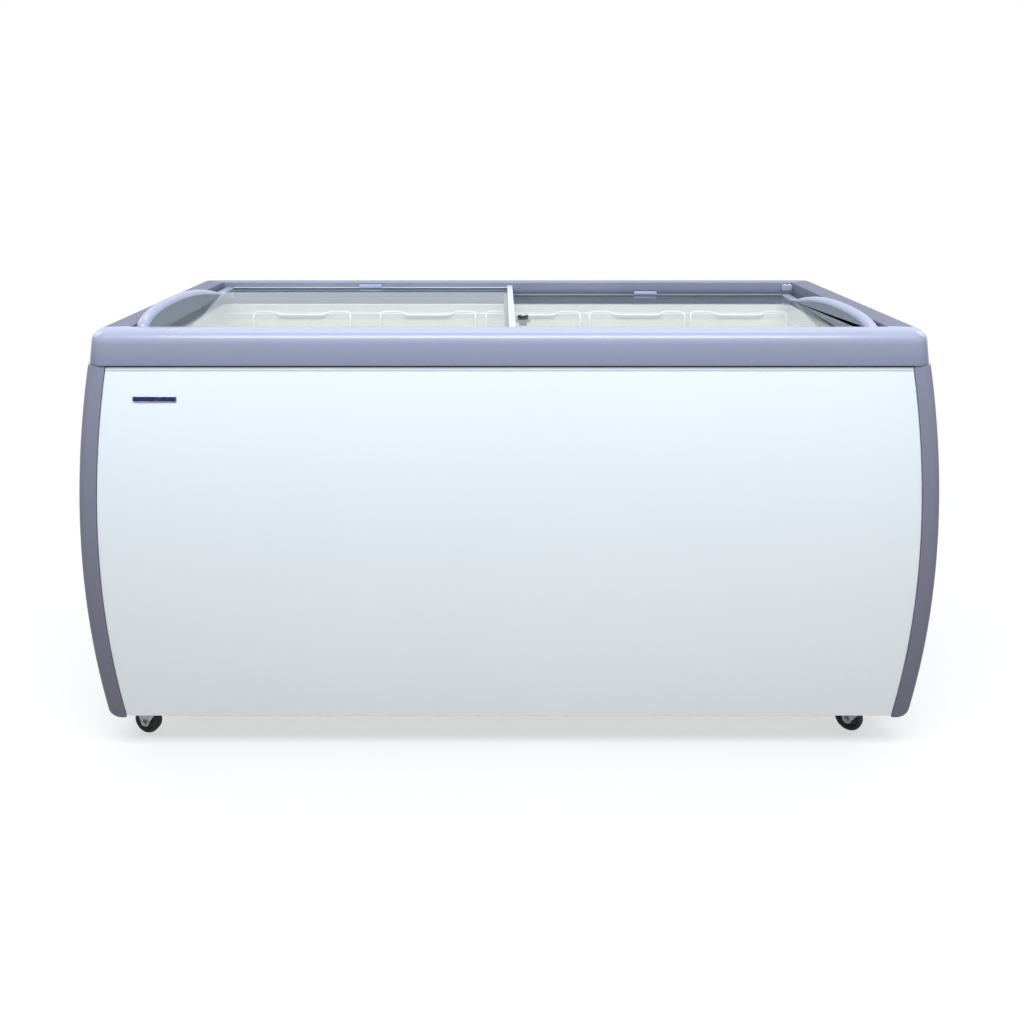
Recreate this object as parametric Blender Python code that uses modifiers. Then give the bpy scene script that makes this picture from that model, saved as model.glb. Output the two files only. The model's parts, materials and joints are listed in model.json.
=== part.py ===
"""Chest freezer: a barrel-sided cabinet under two flat sliding glass lids.

Metres, +Z up.  The front faces -Y and the origin is on the floor, under the middle of the box.
Each sub-part is one object, and modifiers stay live on it.
"""
import math

import bmesh
import bpy
from mathutils import Matrix, Vector

# ---- driving dimensions ----
GAP = 0.0003            # clearance where two pieces touch
HALF_WIDTH = 0.7646     # at the widest height of the barrel sides
FRAME_DEPTH = 0.632     # front face to rear face of the top frame
BOW_Z = 0.38            # height at which the sides stand out furthest
BOW_RADIUS = 2.45       # radius of the barrel curve
RIM_Z = 0.802           # top of the frame
FRAME_Z = 0.741         # lower edge of the frame's skirt
SKIRT_Z = 0.073         # lower edge of posts and panels
BASE_Z = 0.0775         # underside of the base pan

FRONT_BOW = (FRAME_Z - BOW_Z) ** 2 / (2 * BOW_RADIUS) - 0.003
REAR_Y = (FRAME_DEPTH + FRONT_BOW) / 2
RAIL_FRONT_Y = REAR_Y - FRAME_DEPTH
MID_Y = (RAIL_FRONT_Y + REAR_Y) / 2

POST_WIDTH = 0.035
POST_WALL = 0.0045
PANEL_INSET = 0.003
PANEL_WALL = 0.002
BADGE_PLACE = (-0.618, 0.682)

EDGE_Z = 0.778          # where the frame's top edge starts to round over
EDGE_FRONT, EDGE_SIDE, EDGE_REAR = 0.024, 0.020, 0.009
RIM_DEPTH = 0.045       # outer face to the inner face above the upper track
STEP_DEPTH = 0.011      # how far each glass track steps inward
UPPER_TRACK_Z, LOWER_TRACK_Z, THROAT_Z = 0.783, 0.768, 0.755
THROAT_X = 0.671        # inner face of the side rails
RAIL_CUT = 0.075        # length of side rail moulded with each end rail

TANK_X = 0.66           # inner face of the end walls
TANK_Y = 0.247          # inner half depth above the basket ledge
LEDGE_Z, LEDGE = 0.734, 0.012
TANK_FLOOR_Z, STEP_FLOOR_Z, STEP_X = 0.155, 0.40, 0.40
TANK_WALL = 0.0015

GLASS = 0.005
GLASS_IN_CHANNEL = 0.009
LID_END_X = 0.664
HANDLE_WIDTH = 0.021
ARCH_HEIGHT, ARCH_PEAK, ARCH_END = 0.040, 0.200, 0.500
LEFT_STILE = (0.0, 0.012)
RIGHT_STILE = (-0.008, 0.004)
LOCK_X, LOCK_Y = 0.030, MID_Y - 0.035

BASKET_ENDS = ((-0.595, -0.360), (-0.300, -0.069), (-0.055, 0.174), (0.186, 0.417), (0.421, 0.654))
BASKET_TOP_Z, BASKET_FLOOR_Z = 0.7375, 0.52
BASKET_RIM_Y, BASKET_Y = 0.2425, 0.229
WIRE = 0.0045

CASTER_X, CASTER_FRONT_Y, CASTER_REAR_Y = 0.677, -0.247, 0.262
WHEEL_RADIUS, WHEEL_WIDTH, TRAIL = 0.0255, 0.018, 0.020
AXLE_RADIUS = 0.0035
PLATE_Z, CROWN_Z = 0.0745, 0.064
CASTER_YAW = {"front_left": 165, "front_right": 140, "rear_left": 110, "rear_right": 60}

GRILLE_Y, GRILLE_Z, GRILLE_SIZE = 0.130, 0.215, (0.250, 0.190)
GRILLE_THICKNESS = 0.006
LOUVRE_ROWS, LOUVRE_PITCH, LOUVRE_HEIGHT = 7, 0.0185, 0.009
LOUVRE_LENGTH, LOUVRE_BRIDGE = 0.108, 0.008
DIAL_Y, DIAL_Z, DIAL_RADIUS, DIAL_DEPTH = 0.215, 0.272, 0.024, 0.016
LAMP_OFFSET, LAMP_RADIUS = 0.060, 0.0042

COMPRESSOR = (0.600, 0.130)
FOOT_PLATE = (0.100, 0.068, 0.003)      # half length, half depth, thickness
FAN_CENTRE = (0.600, -0.060, 0.200)
FAN_RADIUS, FAN_HUB_RADIUS, BLADES = 0.068, 0.016, 4
SHROUD = (0.085, 0.0015, 0.300)         # half width, half thickness, top
COIL_HALF, COIL_TUBE, COIL_ROWS = 0.080, 0.004, 7
COIL_LOW, COIL_HIGH = 0.110, 0.290
COIL_FRONT_Y, COIL_REAR_Y = -0.155, -0.120
GLAND_X, GLAND_Z = 0.64, 0.125
DRAIN_X, DRAIN_HOLE = -0.45, 0.0095

COLOURS = {
    "white_steel": ((0.86, 0.90, 0.92), 0.28, 0.0),
    "grey_plastic": ((0.27, 0.29, 0.36), 0.38, 0.0),
    "liner_white": ((0.72, 0.74, 0.72), 0.35, 0.0),
    "foam": ((0.85, 0.78, 0.55), 0.9, 0.0),
    "glass": ((0.80, 0.90, 0.88), 0.03, 0.0),
    "white_plastic": ((0.80, 0.83, 0.86), 0.35, 0.0),
    "wire_white": ((0.90, 0.92, 0.93), 0.30, 0.0),
    "galvanised": ((0.55, 0.56, 0.57), 0.35, 0.9),
    "black_rubber": ((0.02, 0.02, 0.02), 0.6, 0.0),
    "black_plastic": ((0.03, 0.03, 0.035), 0.4, 0.0),
    "black_enamel": ((0.03, 0.03, 0.03), 0.45, 0.2),
    "chrome": ((0.75, 0.76, 0.78), 0.15, 1.0),
    "copper": ((0.72, 0.38, 0.22), 0.3, 1.0),
    "navy": ((0.02, 0.03, 0.12), 0.35, 0.0),
}


# ---- scene set-up ----
for old in list(bpy.data.objects):
    bpy.data.objects.remove(old, do_unlink=True)
PARTS = bpy.data.collections.new("chest_freezer")
CUTTERS = bpy.data.collections.new("chest_freezer_cutters")
for collection in (PARTS, CUTTERS):
    bpy.context.scene.collection.children.link(collection)


def make_material(name):
    colour, roughness, metallic = COLOURS[name]
    material = bpy.data.materials.new(name)
    material.use_nodes = True
    shader = material.node_tree.nodes["Principled BSDF"]
    shader.inputs["Base Color"].default_value = (*colour, 1.0)
    shader.inputs["Roughness"].default_value = roughness
    shader.inputs["Metallic"].default_value = metallic
    return material


MATERIALS = {name: make_material(name) for name in COLOURS}


# ---- the barrel curve ----
def bow(z):
    """How far the body has drawn in at height z from its widest height."""
    return (z - BOW_Z) ** 2 / (2 * BOW_RADIUS)


def side_x(z):
    return HALF_WIDTH - bow(z)


def front_y(z):
    return -REAR_Y + bow(z)


def heights(low, high, count):
    return [low + (high - low) * i / (count - 1) for i in range(count)]


# ---- modelling helpers ----
def finish_mesh(bm, name, recalculate=True):
    if recalculate:
        bmesh.ops.recalc_face_normals(bm, faces=bm.faces)
    mesh = bpy.data.meshes.new(name)
    bm.to_mesh(mesh)
    bm.free()
    return mesh


def place(name, mesh, material, pivot=(0, 0, 0), parent=None):
    """Makes a named object from a mesh in world coordinates, with its origin on the pivot."""
    mesh.transform(Matrix.Translation(-Vector(pivot)))
    mesh.materials.clear()
    mesh.materials.append(MATERIALS[material])
    piece = bpy.data.objects.new(name, mesh)
    piece.location = pivot
    PARTS.objects.link(piece)
    if parent:
        piece.parent = parent
        piece.matrix_parent_inverse = parent.matrix_world.inverted()
    return piece


def round_shade(piece, angle=35):
    piece.data.shade_smooth()
    piece.data.set_sharp_from_angle(angle=math.radians(angle))


def box_mesh(low, high, name="box"):
    bm = bmesh.new()
    bmesh.ops.create_cube(bm, size=1.0)
    size = [b - a for a, b in zip(low, high)]
    middle = [(a + b) / 2 for a, b in zip(low, high)]
    bm.transform(Matrix.Translation(middle) @ Matrix.Diagonal((*size, 1)))
    return finish_mesh(bm, name, recalculate=False)


def cylinder_mesh(radius, low, high, sides=24, name="cylinder"):
    """A cylinder between two points."""
    axis = Vector(high) - Vector(low)
    bm = bmesh.new()
    bmesh.ops.create_cone(
        bm, cap_ends=True, segments=sides, radius1=radius, radius2=radius, depth=axis.length)
    turn = axis.to_track_quat("Z", "Y").to_matrix().to_4x4()
    bm.transform(Matrix.Translation((Vector(low) + Vector(high)) / 2) @ turn)
    return finish_mesh(bm, name, recalculate=False)


def loft_mesh(rings, name="loft", ring_closed=False):
    """Skins a stack of rings that have the same number of points; the ends are capped."""
    bm = bmesh.new()
    rows = [[bm.verts.new(point) for point in ring] for ring in rings]
    pairs = list(zip(rows, rows[1:]))
    if ring_closed:
        pairs.append((rows[-1], rows[0]))
    for low, high in pairs:
        for i in range(len(low)):
            j = (i + 1) % len(low)
            bm.faces.new((low[i], low[j], high[j], high[i]))
    if not ring_closed:
        bm.faces.new(reversed(rows[0]))
        bm.faces.new(rows[-1])
    return finish_mesh(bm, name)


def outline_mesh(points, thickness, matrix, name="outline"):
    """A flat outline extruded both ways from its plane, as a mesh in world coordinates."""
    curve = bpy.data.curves.new(name, "CURVE")
    curve.dimensions = "2D"
    curve.fill_mode = "BOTH"
    curve.extrude = thickness / 2
    spline = curve.splines.new("POLY")
    spline.points.add(len(points) - 1)
    for slot, (x, y) in zip(spline.points, points):
        slot.co = (x, y, 0, 1)
    spline.use_cyclic_u = True
    return mesh_of_curve(curve, matrix, name)


def tube_mesh(points, radius, name="tube", resolution=2, cyclic=False):
    """A round wire along a polyline."""
    curve = bpy.data.curves.new(name, "CURVE")
    curve.dimensions = "3D"
    curve.bevel_depth = radius
    curve.bevel_resolution = resolution
    curve.use_fill_caps = True
    spline = curve.splines.new("POLY")
    spline.points.add(len(points) - 1)
    for slot, point in zip(spline.points, points):
        slot.co = (*point, 1)
    spline.use_cyclic_u = cyclic
    return mesh_of_curve(curve, Matrix.Identity(4), name)


def mesh_of_curve(curve, matrix, name):
    holder = bpy.data.objects.new(name, curve)
    holder.matrix_world = matrix
    CUTTERS.objects.link(holder)
    bpy.context.view_layer.update()
    graph = bpy.context.evaluated_depsgraph_get()
    mesh = bpy.data.meshes.new_from_object(holder.evaluated_get(graph))
    mesh.transform(holder.matrix_world)
    bpy.data.objects.remove(holder, do_unlink=True)
    bpy.data.curves.remove(curve)
    bm = bmesh.new()
    bm.from_mesh(mesh)
    bmesh.ops.remove_doubles(bm, verts=bm.verts, dist=0.00001)
    bpy.data.meshes.remove(mesh)
    return finish_mesh(bm, name)


def turned(name, profile, material, centre, axis=(0, 0, 1), steps=24, parent=None, closed=False):
    """A profile of (radius, height) spun about an axis through centre.

    The profile runs down its outer side, from top to bottom; a closed one leaves a bore.
    """
    mesh = bpy.data.meshes.new(name)
    count = len(profile)
    edges = [(i, i + 1) for i in range(count - 1)]
    if closed:
        edges.append((count - 1, 0))
    mesh.from_pydata([(r, 0, h) for r, h in profile], edges, [])
    piece = place(name, mesh, material)
    piece.location = centre
    piece.rotation_euler = Vector(axis).to_track_quat("Z", "Y").to_euler()
    if parent:
        bpy.context.view_layer.update()
        piece.parent = parent
        piece.matrix_parent_inverse = parent.matrix_world.inverted()
    screw = piece.modifiers.new("spin", "SCREW")
    screw.axis = "Z"
    screw.steps = screw.render_steps = steps
    screw.use_merge_vertices = True
    screw.merge_threshold = 0.00001
    return piece


def cutter(mesh):
    tool = bpy.data.objects.new("cutter_" + mesh.name, mesh)
    tool.hide_render = True
    tool.display_type = "WIRE"
    CUTTERS.objects.link(tool)
    return tool


def boolean(piece, mesh, operation="DIFFERENCE"):
    """Adds a Boolean with a mesh given in world coordinates."""
    modifier = piece.modifiers.new(operation.lower(), "BOOLEAN")
    modifier.operation = operation
    modifier.solver = "EXACT"
    modifier.object = cutter(mesh)


def bevel(piece, width, segments=2, angle=40):
    modifier = piece.modifiers.new("rounded_edges", "BEVEL")
    modifier.width = width
    modifier.segments = segments
    modifier.limit_method = "ANGLE"
    modifier.angle_limit = math.radians(angle)


def joined(meshes, name):
    """Several separate solids as one mesh."""
    bm = bmesh.new()
    for mesh in meshes:
        bm.from_mesh(mesh)
        bpy.data.meshes.remove(mesh)
    return finish_mesh(bm, name, recalculate=False)


def rounded_ring(half_x, y_low, y_high, z, front_radius, rear_radius, steps=5):
    """A rounded rectangle at height z, counter-clockwise from the front right corner."""
    corners = (
        (half_x, y_low, front_radius, -90), (half_x, y_high, rear_radius, 0),
        (-half_x, y_high, rear_radius, 90), (-half_x, y_low, front_radius, 180))
    ring = []
    for x, y, radius, start in corners:
        cx = x - math.copysign(radius, x)
        cy = y - radius if y == y_high else y + radius
        for i in range(steps + 1):
            angle = math.radians(start + 90 * i / steps)
            ring.append((cx + radius * math.cos(angle), cy + radius * math.sin(angle), z))
    return ring


def body_ring(z, inset, corner=0.018, steps=4):
    """The body's plan outline at height z, drawn in by inset."""
    return rounded_ring(
        side_x(z) - inset, front_y(z) + inset, REAR_Y - inset, z, corner, corner, steps)


# ---- cabinet ----
def frame_ring_mesh():
    """The whole top frame as one ring: skirt, rounded rim, two glass tracks and throat."""
    rings = []

    def level(z, half_x, front, rear, front_radius, rear_radius):
        rings.append(rounded_ring(
            half_x, RAIL_FRONT_Y + front, REAR_Y - rear, z, front_radius, rear_radius))

    level(FRAME_Z, side_x(FRAME_Z), 0, 0, 0.030, 0.014)
    arc_steps = 4
    for i in range(arc_steps + 1):
        angle = math.radians(90 * i / arc_steps)
        draw = 1 - math.cos(angle)
        z = EDGE_Z + (RIM_Z - EDGE_Z) * math.sin(angle)
        level(z, side_x(EDGE_Z) - EDGE_SIDE * draw, EDGE_FRONT * draw, EDGE_REAR * draw,
              0.030 - 0.012 * draw, 0.014 - 0.006 * draw)
    inner = (
        (RIM_DEPTH, RIM_Z), (RIM_DEPTH, UPPER_TRACK_Z),
        (RIM_DEPTH + STEP_DEPTH, UPPER_TRACK_Z), (RIM_DEPTH + STEP_DEPTH, LOWER_TRACK_Z),
        (RIM_DEPTH + 2 * STEP_DEPTH, LOWER_TRACK_Z), (RIM_DEPTH + 2 * STEP_DEPTH, THROAT_Z))
    for depth, z in inner:
        level(z, THROAT_X - 0.0002 * depth / STEP_DEPTH, depth, depth, 0.005, 0.005)
    level(THROAT_Z, side_x(THROAT_Z) - 0.020, 0.020, 0.020, 0.012, 0.008)
    level(FRAME_Z, side_x(FRAME_Z) - 0.020, 0.020, 0.020, 0.012, 0.008)
    return loft_mesh(rings, "top_frame", ring_closed=True)


def make_frame():
    front_cut, rear_cut = RAIL_FRONT_Y + RAIL_CUT, REAR_Y - RAIL_CUT
    far = 1.0
    halves = {
        "frame_front_rail": ((-far, -far, 0), (far, front_cut, far)),
        "frame_rear_rail": ((-far, rear_cut, 0), (far, far, far)),
        "frame_left_rail": ((-far, front_cut + GAP, 0), (0, rear_cut - GAP, far)),
        "frame_right_rail": ((0, front_cut + GAP, 0), (far, rear_cut - GAP, far)),
    }
    for name, (low, high) in halves.items():
        rail = place(name, frame_ring_mesh(), "grey_plastic")
        boolean(rail, box_mesh(low, high, name), "INTERSECT")
        round_shade(rail)


def make_posts():
    """The four bowed corner posts: L-shaped strips that wrap round the body's corners."""
    top = FRAME_Z - GAP
    levels = heights(SKIRT_Z, top, 11)
    for end, radius in (("front", 0.018), ("rear", 0.012)):
        for side, sign in (("left", -1), ("right", 1)):
            rings = []
            for z in levels:
                y_face = front_y(z) if end == "front" else REAR_Y
                back = 1 if end == "front" else -1
                ring = []
                for wall, points in ((0.0, 5), (POST_WALL, 3)):
                    arc = radius - wall
                    corner = (side_x(z) - radius, y_face + back * radius)
                    run = [(side_x(z) - POST_WIDTH, y_face + back * wall)]
                    for i in range(points):
                        angle = math.radians(90 * i / (points - 1))
                        run.append((corner[0] + arc * math.sin(angle),
                                    corner[1] - back * arc * math.cos(angle)))
                    run.append((side_x(z) - wall, y_face + back * POST_WIDTH))
                    ring += run if wall == 0 else run[::-1]
                rings.append([(sign * x, y, z) for x, y in ring])
            post = place(f"{end}_{side}_post", loft_mesh(rings), "grey_plastic")
            round_shade(post)


def sheet(name, edge_a, edge_b, levels, material, inward):
    """A bowed panel: a strip of quads between two edges given as functions of z."""
    bm = bmesh.new()
    rows = [(bm.verts.new(edge_a(z)), bm.verts.new(edge_b(z))) for z in levels]
    for (a, b), (d, c) in zip(rows, rows[1:]):
        bm.faces.new((a, b, c, d))
    mesh = bpy.data.meshes.new(name)
    bm.to_mesh(mesh)
    bm.free()
    panel = place(name, mesh, material)
    solid = panel.modifiers.new("sheet", "SOLIDIFY")
    solid.thickness = PANEL_WALL
    solid.offset = inward
    solid.use_even_offset = True
    return panel


def make_panels():
    levels = heights(SKIRT_Z + 0.0015, FRAME_Z - 2 * GAP, 13)
    inset, edge = PANEL_INSET, POST_WIDTH + 2 * GAP
    sheet("front_panel",
          lambda z: (-side_x(z) + edge, front_y(z) + inset, z),
          lambda z: (side_x(z) - edge, front_y(z) + inset, z), levels, "white_steel", -1)
    rear = sheet("rear_panel",
                 lambda z: (side_x(z) - edge, REAR_Y - inset, z),
                 lambda z: (-side_x(z) + edge, REAR_Y - inset, z), levels, "white_steel", -1)
    sheet("left_panel",
          lambda z: (-side_x(z) + inset, REAR_Y - edge, z),
          lambda z: (-side_x(z) + inset, front_y(z) + edge, z), levels, "white_steel", -1)
    right = sheet("right_panel",
                  lambda z: (side_x(z) - inset, front_y(z) + edge, z),
                  lambda z: (side_x(z) - inset, REAR_Y - edge, z), levels, "white_steel", -1)
    width, height = GRILLE_SIZE
    boolean(right, box_mesh(
        (0.6, GRILLE_Y - width / 2, GRILLE_Z - height / 2),
        (0.8, GRILLE_Y + width / 2, GRILLE_Z + height / 2), "grille_opening"))
    half_slot, half_rise = 0.004, 0.018
    slots = [box_mesh((x - half_slot, 0.2, z - half_rise), (x + half_slot, 0.4, z + half_rise))
             for z in (0.16, 0.21) for x in heights(0.50, 0.68, 10)]
    boolean(rear, joined(slots, "rear_vents"))
    boolean(rear, cylinder_mesh(0.0085, (GLAND_X, 0.2, GLAND_Z), (GLAND_X, 0.4, GLAND_Z), 16, "cord_hole"))


def tank_meshes(grow, top):
    """The stepped tank's lower body and wider mouth, grown outward by a wall."""
    x, y = TANK_X + grow, TANK_Y - LEDGE + grow
    outline = (
        (-x, top), (-x, TANK_FLOOR_Z - grow), (STEP_X + grow, TANK_FLOOR_Z - grow),
        (STEP_X + grow, STEP_FLOOR_Z - grow), (x, STEP_FLOOR_Z - grow), (x, top))
    upright = Matrix.Translation((0, MID_Y, 0)) @ Matrix.Rotation(math.radians(90), 4, "X")
    body = outline_mesh(outline, 2 * y, upright, "tank_body")
    mouth = box_mesh((-x - 0.0002, MID_Y - TANK_Y - grow, LEDGE_Z - grow),
                     (x + 0.0002, MID_Y + TANK_Y + grow, top + 0.001), "tank_mouth")
    return body, mouth


def drain_bore():
    return cylinder_mesh(DRAIN_HOLE, (DRAIN_X, MID_Y, 0.05), (DRAIN_X, MID_Y, 0.3), 16, "drain")


def make_tank():
    flange_top = THROAT_Z - GAP
    flange = place("inner_tank", box_mesh(
        (-TANK_X - 0.040, MID_Y - TANK_Y - 0.030, flange_top - 0.002),
        (TANK_X + 0.040, MID_Y + TANK_Y + 0.030, flange_top)), "liner_white")
    for mesh in tank_meshes(TANK_WALL, flange_top - 0.0012):
        boolean(flange, mesh, "UNION")
    for mesh in tank_meshes(0.0, 0.79):
        boolean(flange, mesh)
    boolean(flange, drain_bore())

    inset, skirt = PANEL_INSET + PANEL_WALL + 0.0038, 0.0215
    rings = [body_ring(z, inset) for z in heights(0.1005, FRAME_Z - 2 * GAP, 9)]
    rings += [body_ring(z, skirt) for z in (FRAME_Z - 2 * GAP, flange_top - 0.0026)]
    foam = place("insulation_foam", loft_mesh(rings), "foam")
    for mesh in tank_meshes(TANK_WALL + GAP, 0.79):
        boolean(foam, mesh)
    boolean(foam, box_mesh((STEP_X + 0.035, -0.5, 0.0), (0.9, 0.5, STEP_FLOOR_Z - 0.035), "bay"))
    boolean(foam, drain_bore())


def make_base():
    inset = PANEL_INSET + PANEL_WALL + 0.0010
    lip, sheet_wall = 0.020, 0.002
    rings = (body_ring(BASE_Z, inset + 0.001), body_ring(BASE_Z + 0.022, inset),
             body_ring(BASE_Z + 0.022, inset + sheet_wall),
             body_ring(BASE_Z + sheet_wall, inset + sheet_wall + 0.001))
    pan = place("base_pan", loft_mesh(rings), "galvanised")
    boolean(pan, drain_bore())
    turned("drain_tube", ((0.0055, 0.0), (0.0092, 0.0), (0.0092, -0.090), (0.0055, -0.090)),
           "white_plastic", (DRAIN_X, MID_Y, TANK_FLOOR_Z), steps=16, closed=True)
    turned("drain_cap", ((0.0, 0.012), (0.0052, 0.012), (0.0052, 0.0), (0.0125, 0.0),
                         (0.0125, -0.009), (0.0, -0.009)),
           "black_plastic", (DRAIN_X, MID_Y, TANK_FLOOR_Z - 0.0905), steps=16)


def make_badge():
    """A blank badge near the panel's upper left corner."""
    x, z = BADGE_PLACE
    half_x, half_z, thickness, clearance = 0.038, 0.0045, 0.0015, 0.0006
    slope = math.atan((z - BOW_Z) / BOW_RADIUS)
    face = front_y(z) + PANEL_INSET
    mesh = box_mesh((-half_x, -thickness - clearance, -half_z), (half_x, -clearance, half_z))
    mesh.transform(Matrix.Translation((x, face, z)) @ Matrix.Rotation(-slope, 4, "X"))
    badge = place("blank_badge", mesh, "navy")
    bevel(badge, 0.0004, 1)


# ---- lids ----
def arch(depth):
    """Height of a handle above its glass at a distance back from the frame's front face."""
    start = RIM_DEPTH + 0.001
    if depth <= ARCH_PEAK:
        t = (ARCH_PEAK - depth) / (ARCH_PEAK - start)
        return ARCH_HEIGHT * (1 - min(t, 1.0) ** 2.6) ** (1 / 2.6)
    t = (depth - ARCH_PEAK) / (ARCH_END - ARCH_PEAK)
    return ARCH_HEIGHT * max(0.0, 1 - t ** 2.15)


def channel_outline(low, slot_low, slot_high, high, depth, slot):
    """A C section open towards +X: wall at x = 0, lips reaching to x = depth."""
    return ((0, low), (depth, low), (depth, slot_low), (depth - slot, slot_low),
            (depth - slot, slot_high), (depth, slot_high), (depth, high), (0, high))


def make_lid(side, track_z, edge_depth, glass_ends, stile):
    """One sliding lid: glass, two edge runners, inner stile, arched end handle and clips."""
    sign = -1 if side == "left" else 1
    edge = edge_depth + 0.0008
    y_front, y_rear = RAIL_FRONT_Y + edge, REAR_Y - edge
    low = track_z + GAP
    slot_low, slot_high = low + 0.0014, low + 0.0014 + GLASS + 2 * GAP
    high = slot_high + 0.0014
    glass_low = slot_low + GAP
    reach = 0.003 + GAP

    holder = bpy.data.objects.new(f"{side}_lid_slide", None)
    holder.location = (sum(stile) / 2, MID_Y, glass_low)
    PARTS.objects.link(holder)
    bpy.context.view_layer.update()

    glass = place(f"{side}_glass", box_mesh(
        (glass_ends[0], y_front + reach, glass_low),
        (glass_ends[1], y_rear - reach, glass_low + GLASS)), "glass", parent=holder)

    inner_face = sign * (LID_END_X - HANDLE_WIDTH)
    stile_face = stile[0] if side == "left" else stile[1]
    run = sorted((inner_face - sign * GAP, stile_face - sign * 0.001))
    middle, length = sum(run) / 2, run[1] - run[0]
    section = channel_outline(low, slot_low, slot_high, high, 0.012, GLASS_IN_CHANNEL)
    along_x = Matrix(((0, 0, 1, 0), (1, 0, 0, 0), (0, 1, 0, 0), (0, 0, 0, 1)))
    mirror_y = Matrix.Diagonal((1, -1, 1, 1))
    front = outline_mesh(section, length, Matrix.Translation((middle, y_front, 0)) @ along_x)
    rear = outline_mesh(section, length, Matrix.Translation((middle, 0, 0)) @ along_x)
    rear.transform(Matrix.Translation((0, y_rear, 0)) @ mirror_y)
    width = stile[1] - stile[0]
    top = high + (0.0035 if side == "left" else 0.0)
    end = channel_outline(low, slot_low, slot_high, top, width, GLASS_IN_CHANNEL)
    outward = Matrix(((1, 0, 0, 0), (0, 0, -1, 0), (0, 1, 0, 0), (0, 0, 0, 1)))
    bar = outline_mesh(end, y_rear - y_front, outward)
    flip = Matrix.Diagonal((sign, 1, 1, 1))
    wall_x = stile[1] if side == "left" else stile[0]
    bar.transform(Matrix.Translation((wall_x, (y_front + y_rear) / 2, 0)) @ flip)
    frame = place(f"{side}_lid_frame", bar, "white_plastic", parent=holder)
    for runner in (front, rear):
        boolean(frame, runner, "UNION")

    glass_top = glass_low + GLASS
    points = [(y_front, low), (y_front, high)]
    depths = [edge + (ARCH_PEAK - edge) * (1 - math.cos(math.radians(i * 15)))
              for i in range(1, 7)]
    depths += [ARCH_PEAK + (ARCH_END - ARCH_PEAK) * i / 6 for i in range(1, 7)]
    for depth in depths:
        points.append((RAIL_FRONT_Y + depth, max(high, glass_top + arch(depth))))
    points += [(y_rear, high), (y_rear, low)]
    handle_mid = sign * (LID_END_X - HANDLE_WIDTH / 2)
    leaf = outline_mesh(points, HANDLE_WIDTH, Matrix.Translation((handle_mid, 0, 0)) @ along_x)
    handle = place(f"{side}_handle", leaf, "grey_plastic", parent=holder)
    slot_x = sorted((inner_face - sign * 0.01, inner_face + sign * 0.0115))
    boolean(handle, box_mesh((slot_x[0], -1, slot_low), (slot_x[1], 1, slot_high), side + "_slot"))
    round_shade(handle)

    half_clip = 0.026
    place(f"{side}_lid_clip", box_mesh(
        (middle - half_clip, y_rear - 0.009, high + GAP),
        (middle + half_clip, y_rear - 0.001, high + 0.006)), "white_plastic", parent=holder)
    return holder, glass, low, glass_top


def make_lids():
    lap = 0.0105
    left, _, low, _ = make_lid("left", UPPER_TRACK_Z, RIM_DEPTH,
                               (-LID_END_X + lap, LEFT_STILE[1] - 0.0035), LEFT_STILE)
    right, glass, _, glass_top = make_lid("right", LOWER_TRACK_Z, RIM_DEPTH + STEP_DEPTH,
                                          (RIGHT_STILE[0] + 0.0035, LID_END_X - lap), RIGHT_STILE)
    seal_low, seal_high = LOWER_TRACK_Z + 0.0095, low - GAP
    reach = RIM_DEPTH + STEP_DEPTH + 0.0115
    seal = place("left_lid_seal", box_mesh(
        (0.003, RAIL_FRONT_Y + reach, seal_low), (0.009, REAR_Y - reach, seal_high)),
        "black_rubber", parent=left)
    boolean(seal, box_mesh((-0.01, LOCK_Y - 0.014, seal_low - 0.01),
                           (0.02, LOCK_Y + 0.014, seal_high - 0.0011), "lock_notch"))

    boolean(glass, cylinder_mesh(0.0085, (LOCK_X, LOCK_Y, 0.7), (LOCK_X, LOCK_Y, 0.8), 20,
                                 "lock_hole"))
    turned("lock_barrel",
           ((0.0073, 0.0045), (0.0100, 0.0045), (0.0110, 0.0035), (0.0110, GAP), (0.0082, GAP),
            (0.0082, -0.016), (0.0073, -0.016)),
           "black_plastic", (LOCK_X, LOCK_Y, glass_top), steps=20, parent=right, closed=True)
    plunger = turned("lock_plunger",
                     ((0.0045, 0.006), (0.0064, 0.006), (0.0070, 0.0054), (0.0070, -0.014),
                      (0.0045, -0.014)),
                     "chrome", (LOCK_X, LOCK_Y, glass_top), steps=20, parent=right, closed=True)
    plug = turned("lock_plug",
                  ((0.0, 0.0055), (0.0042, 0.0055), (0.0042, -0.014), (0.0, -0.014)),
                  "chrome", (LOCK_X, LOCK_Y, glass_top), steps=20)
    bpy.context.view_layer.update()
    plug.parent = plunger
    plug.matrix_parent_inverse = plunger.matrix_world.inverted()
    boolean(plug, box_mesh((LOCK_X - 0.0030, LOCK_Y - 0.0005, glass_top + 0.001),
                           (LOCK_X + 0.0030, LOCK_Y + 0.0005, glass_top + 0.02), "key_slot"))


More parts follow.
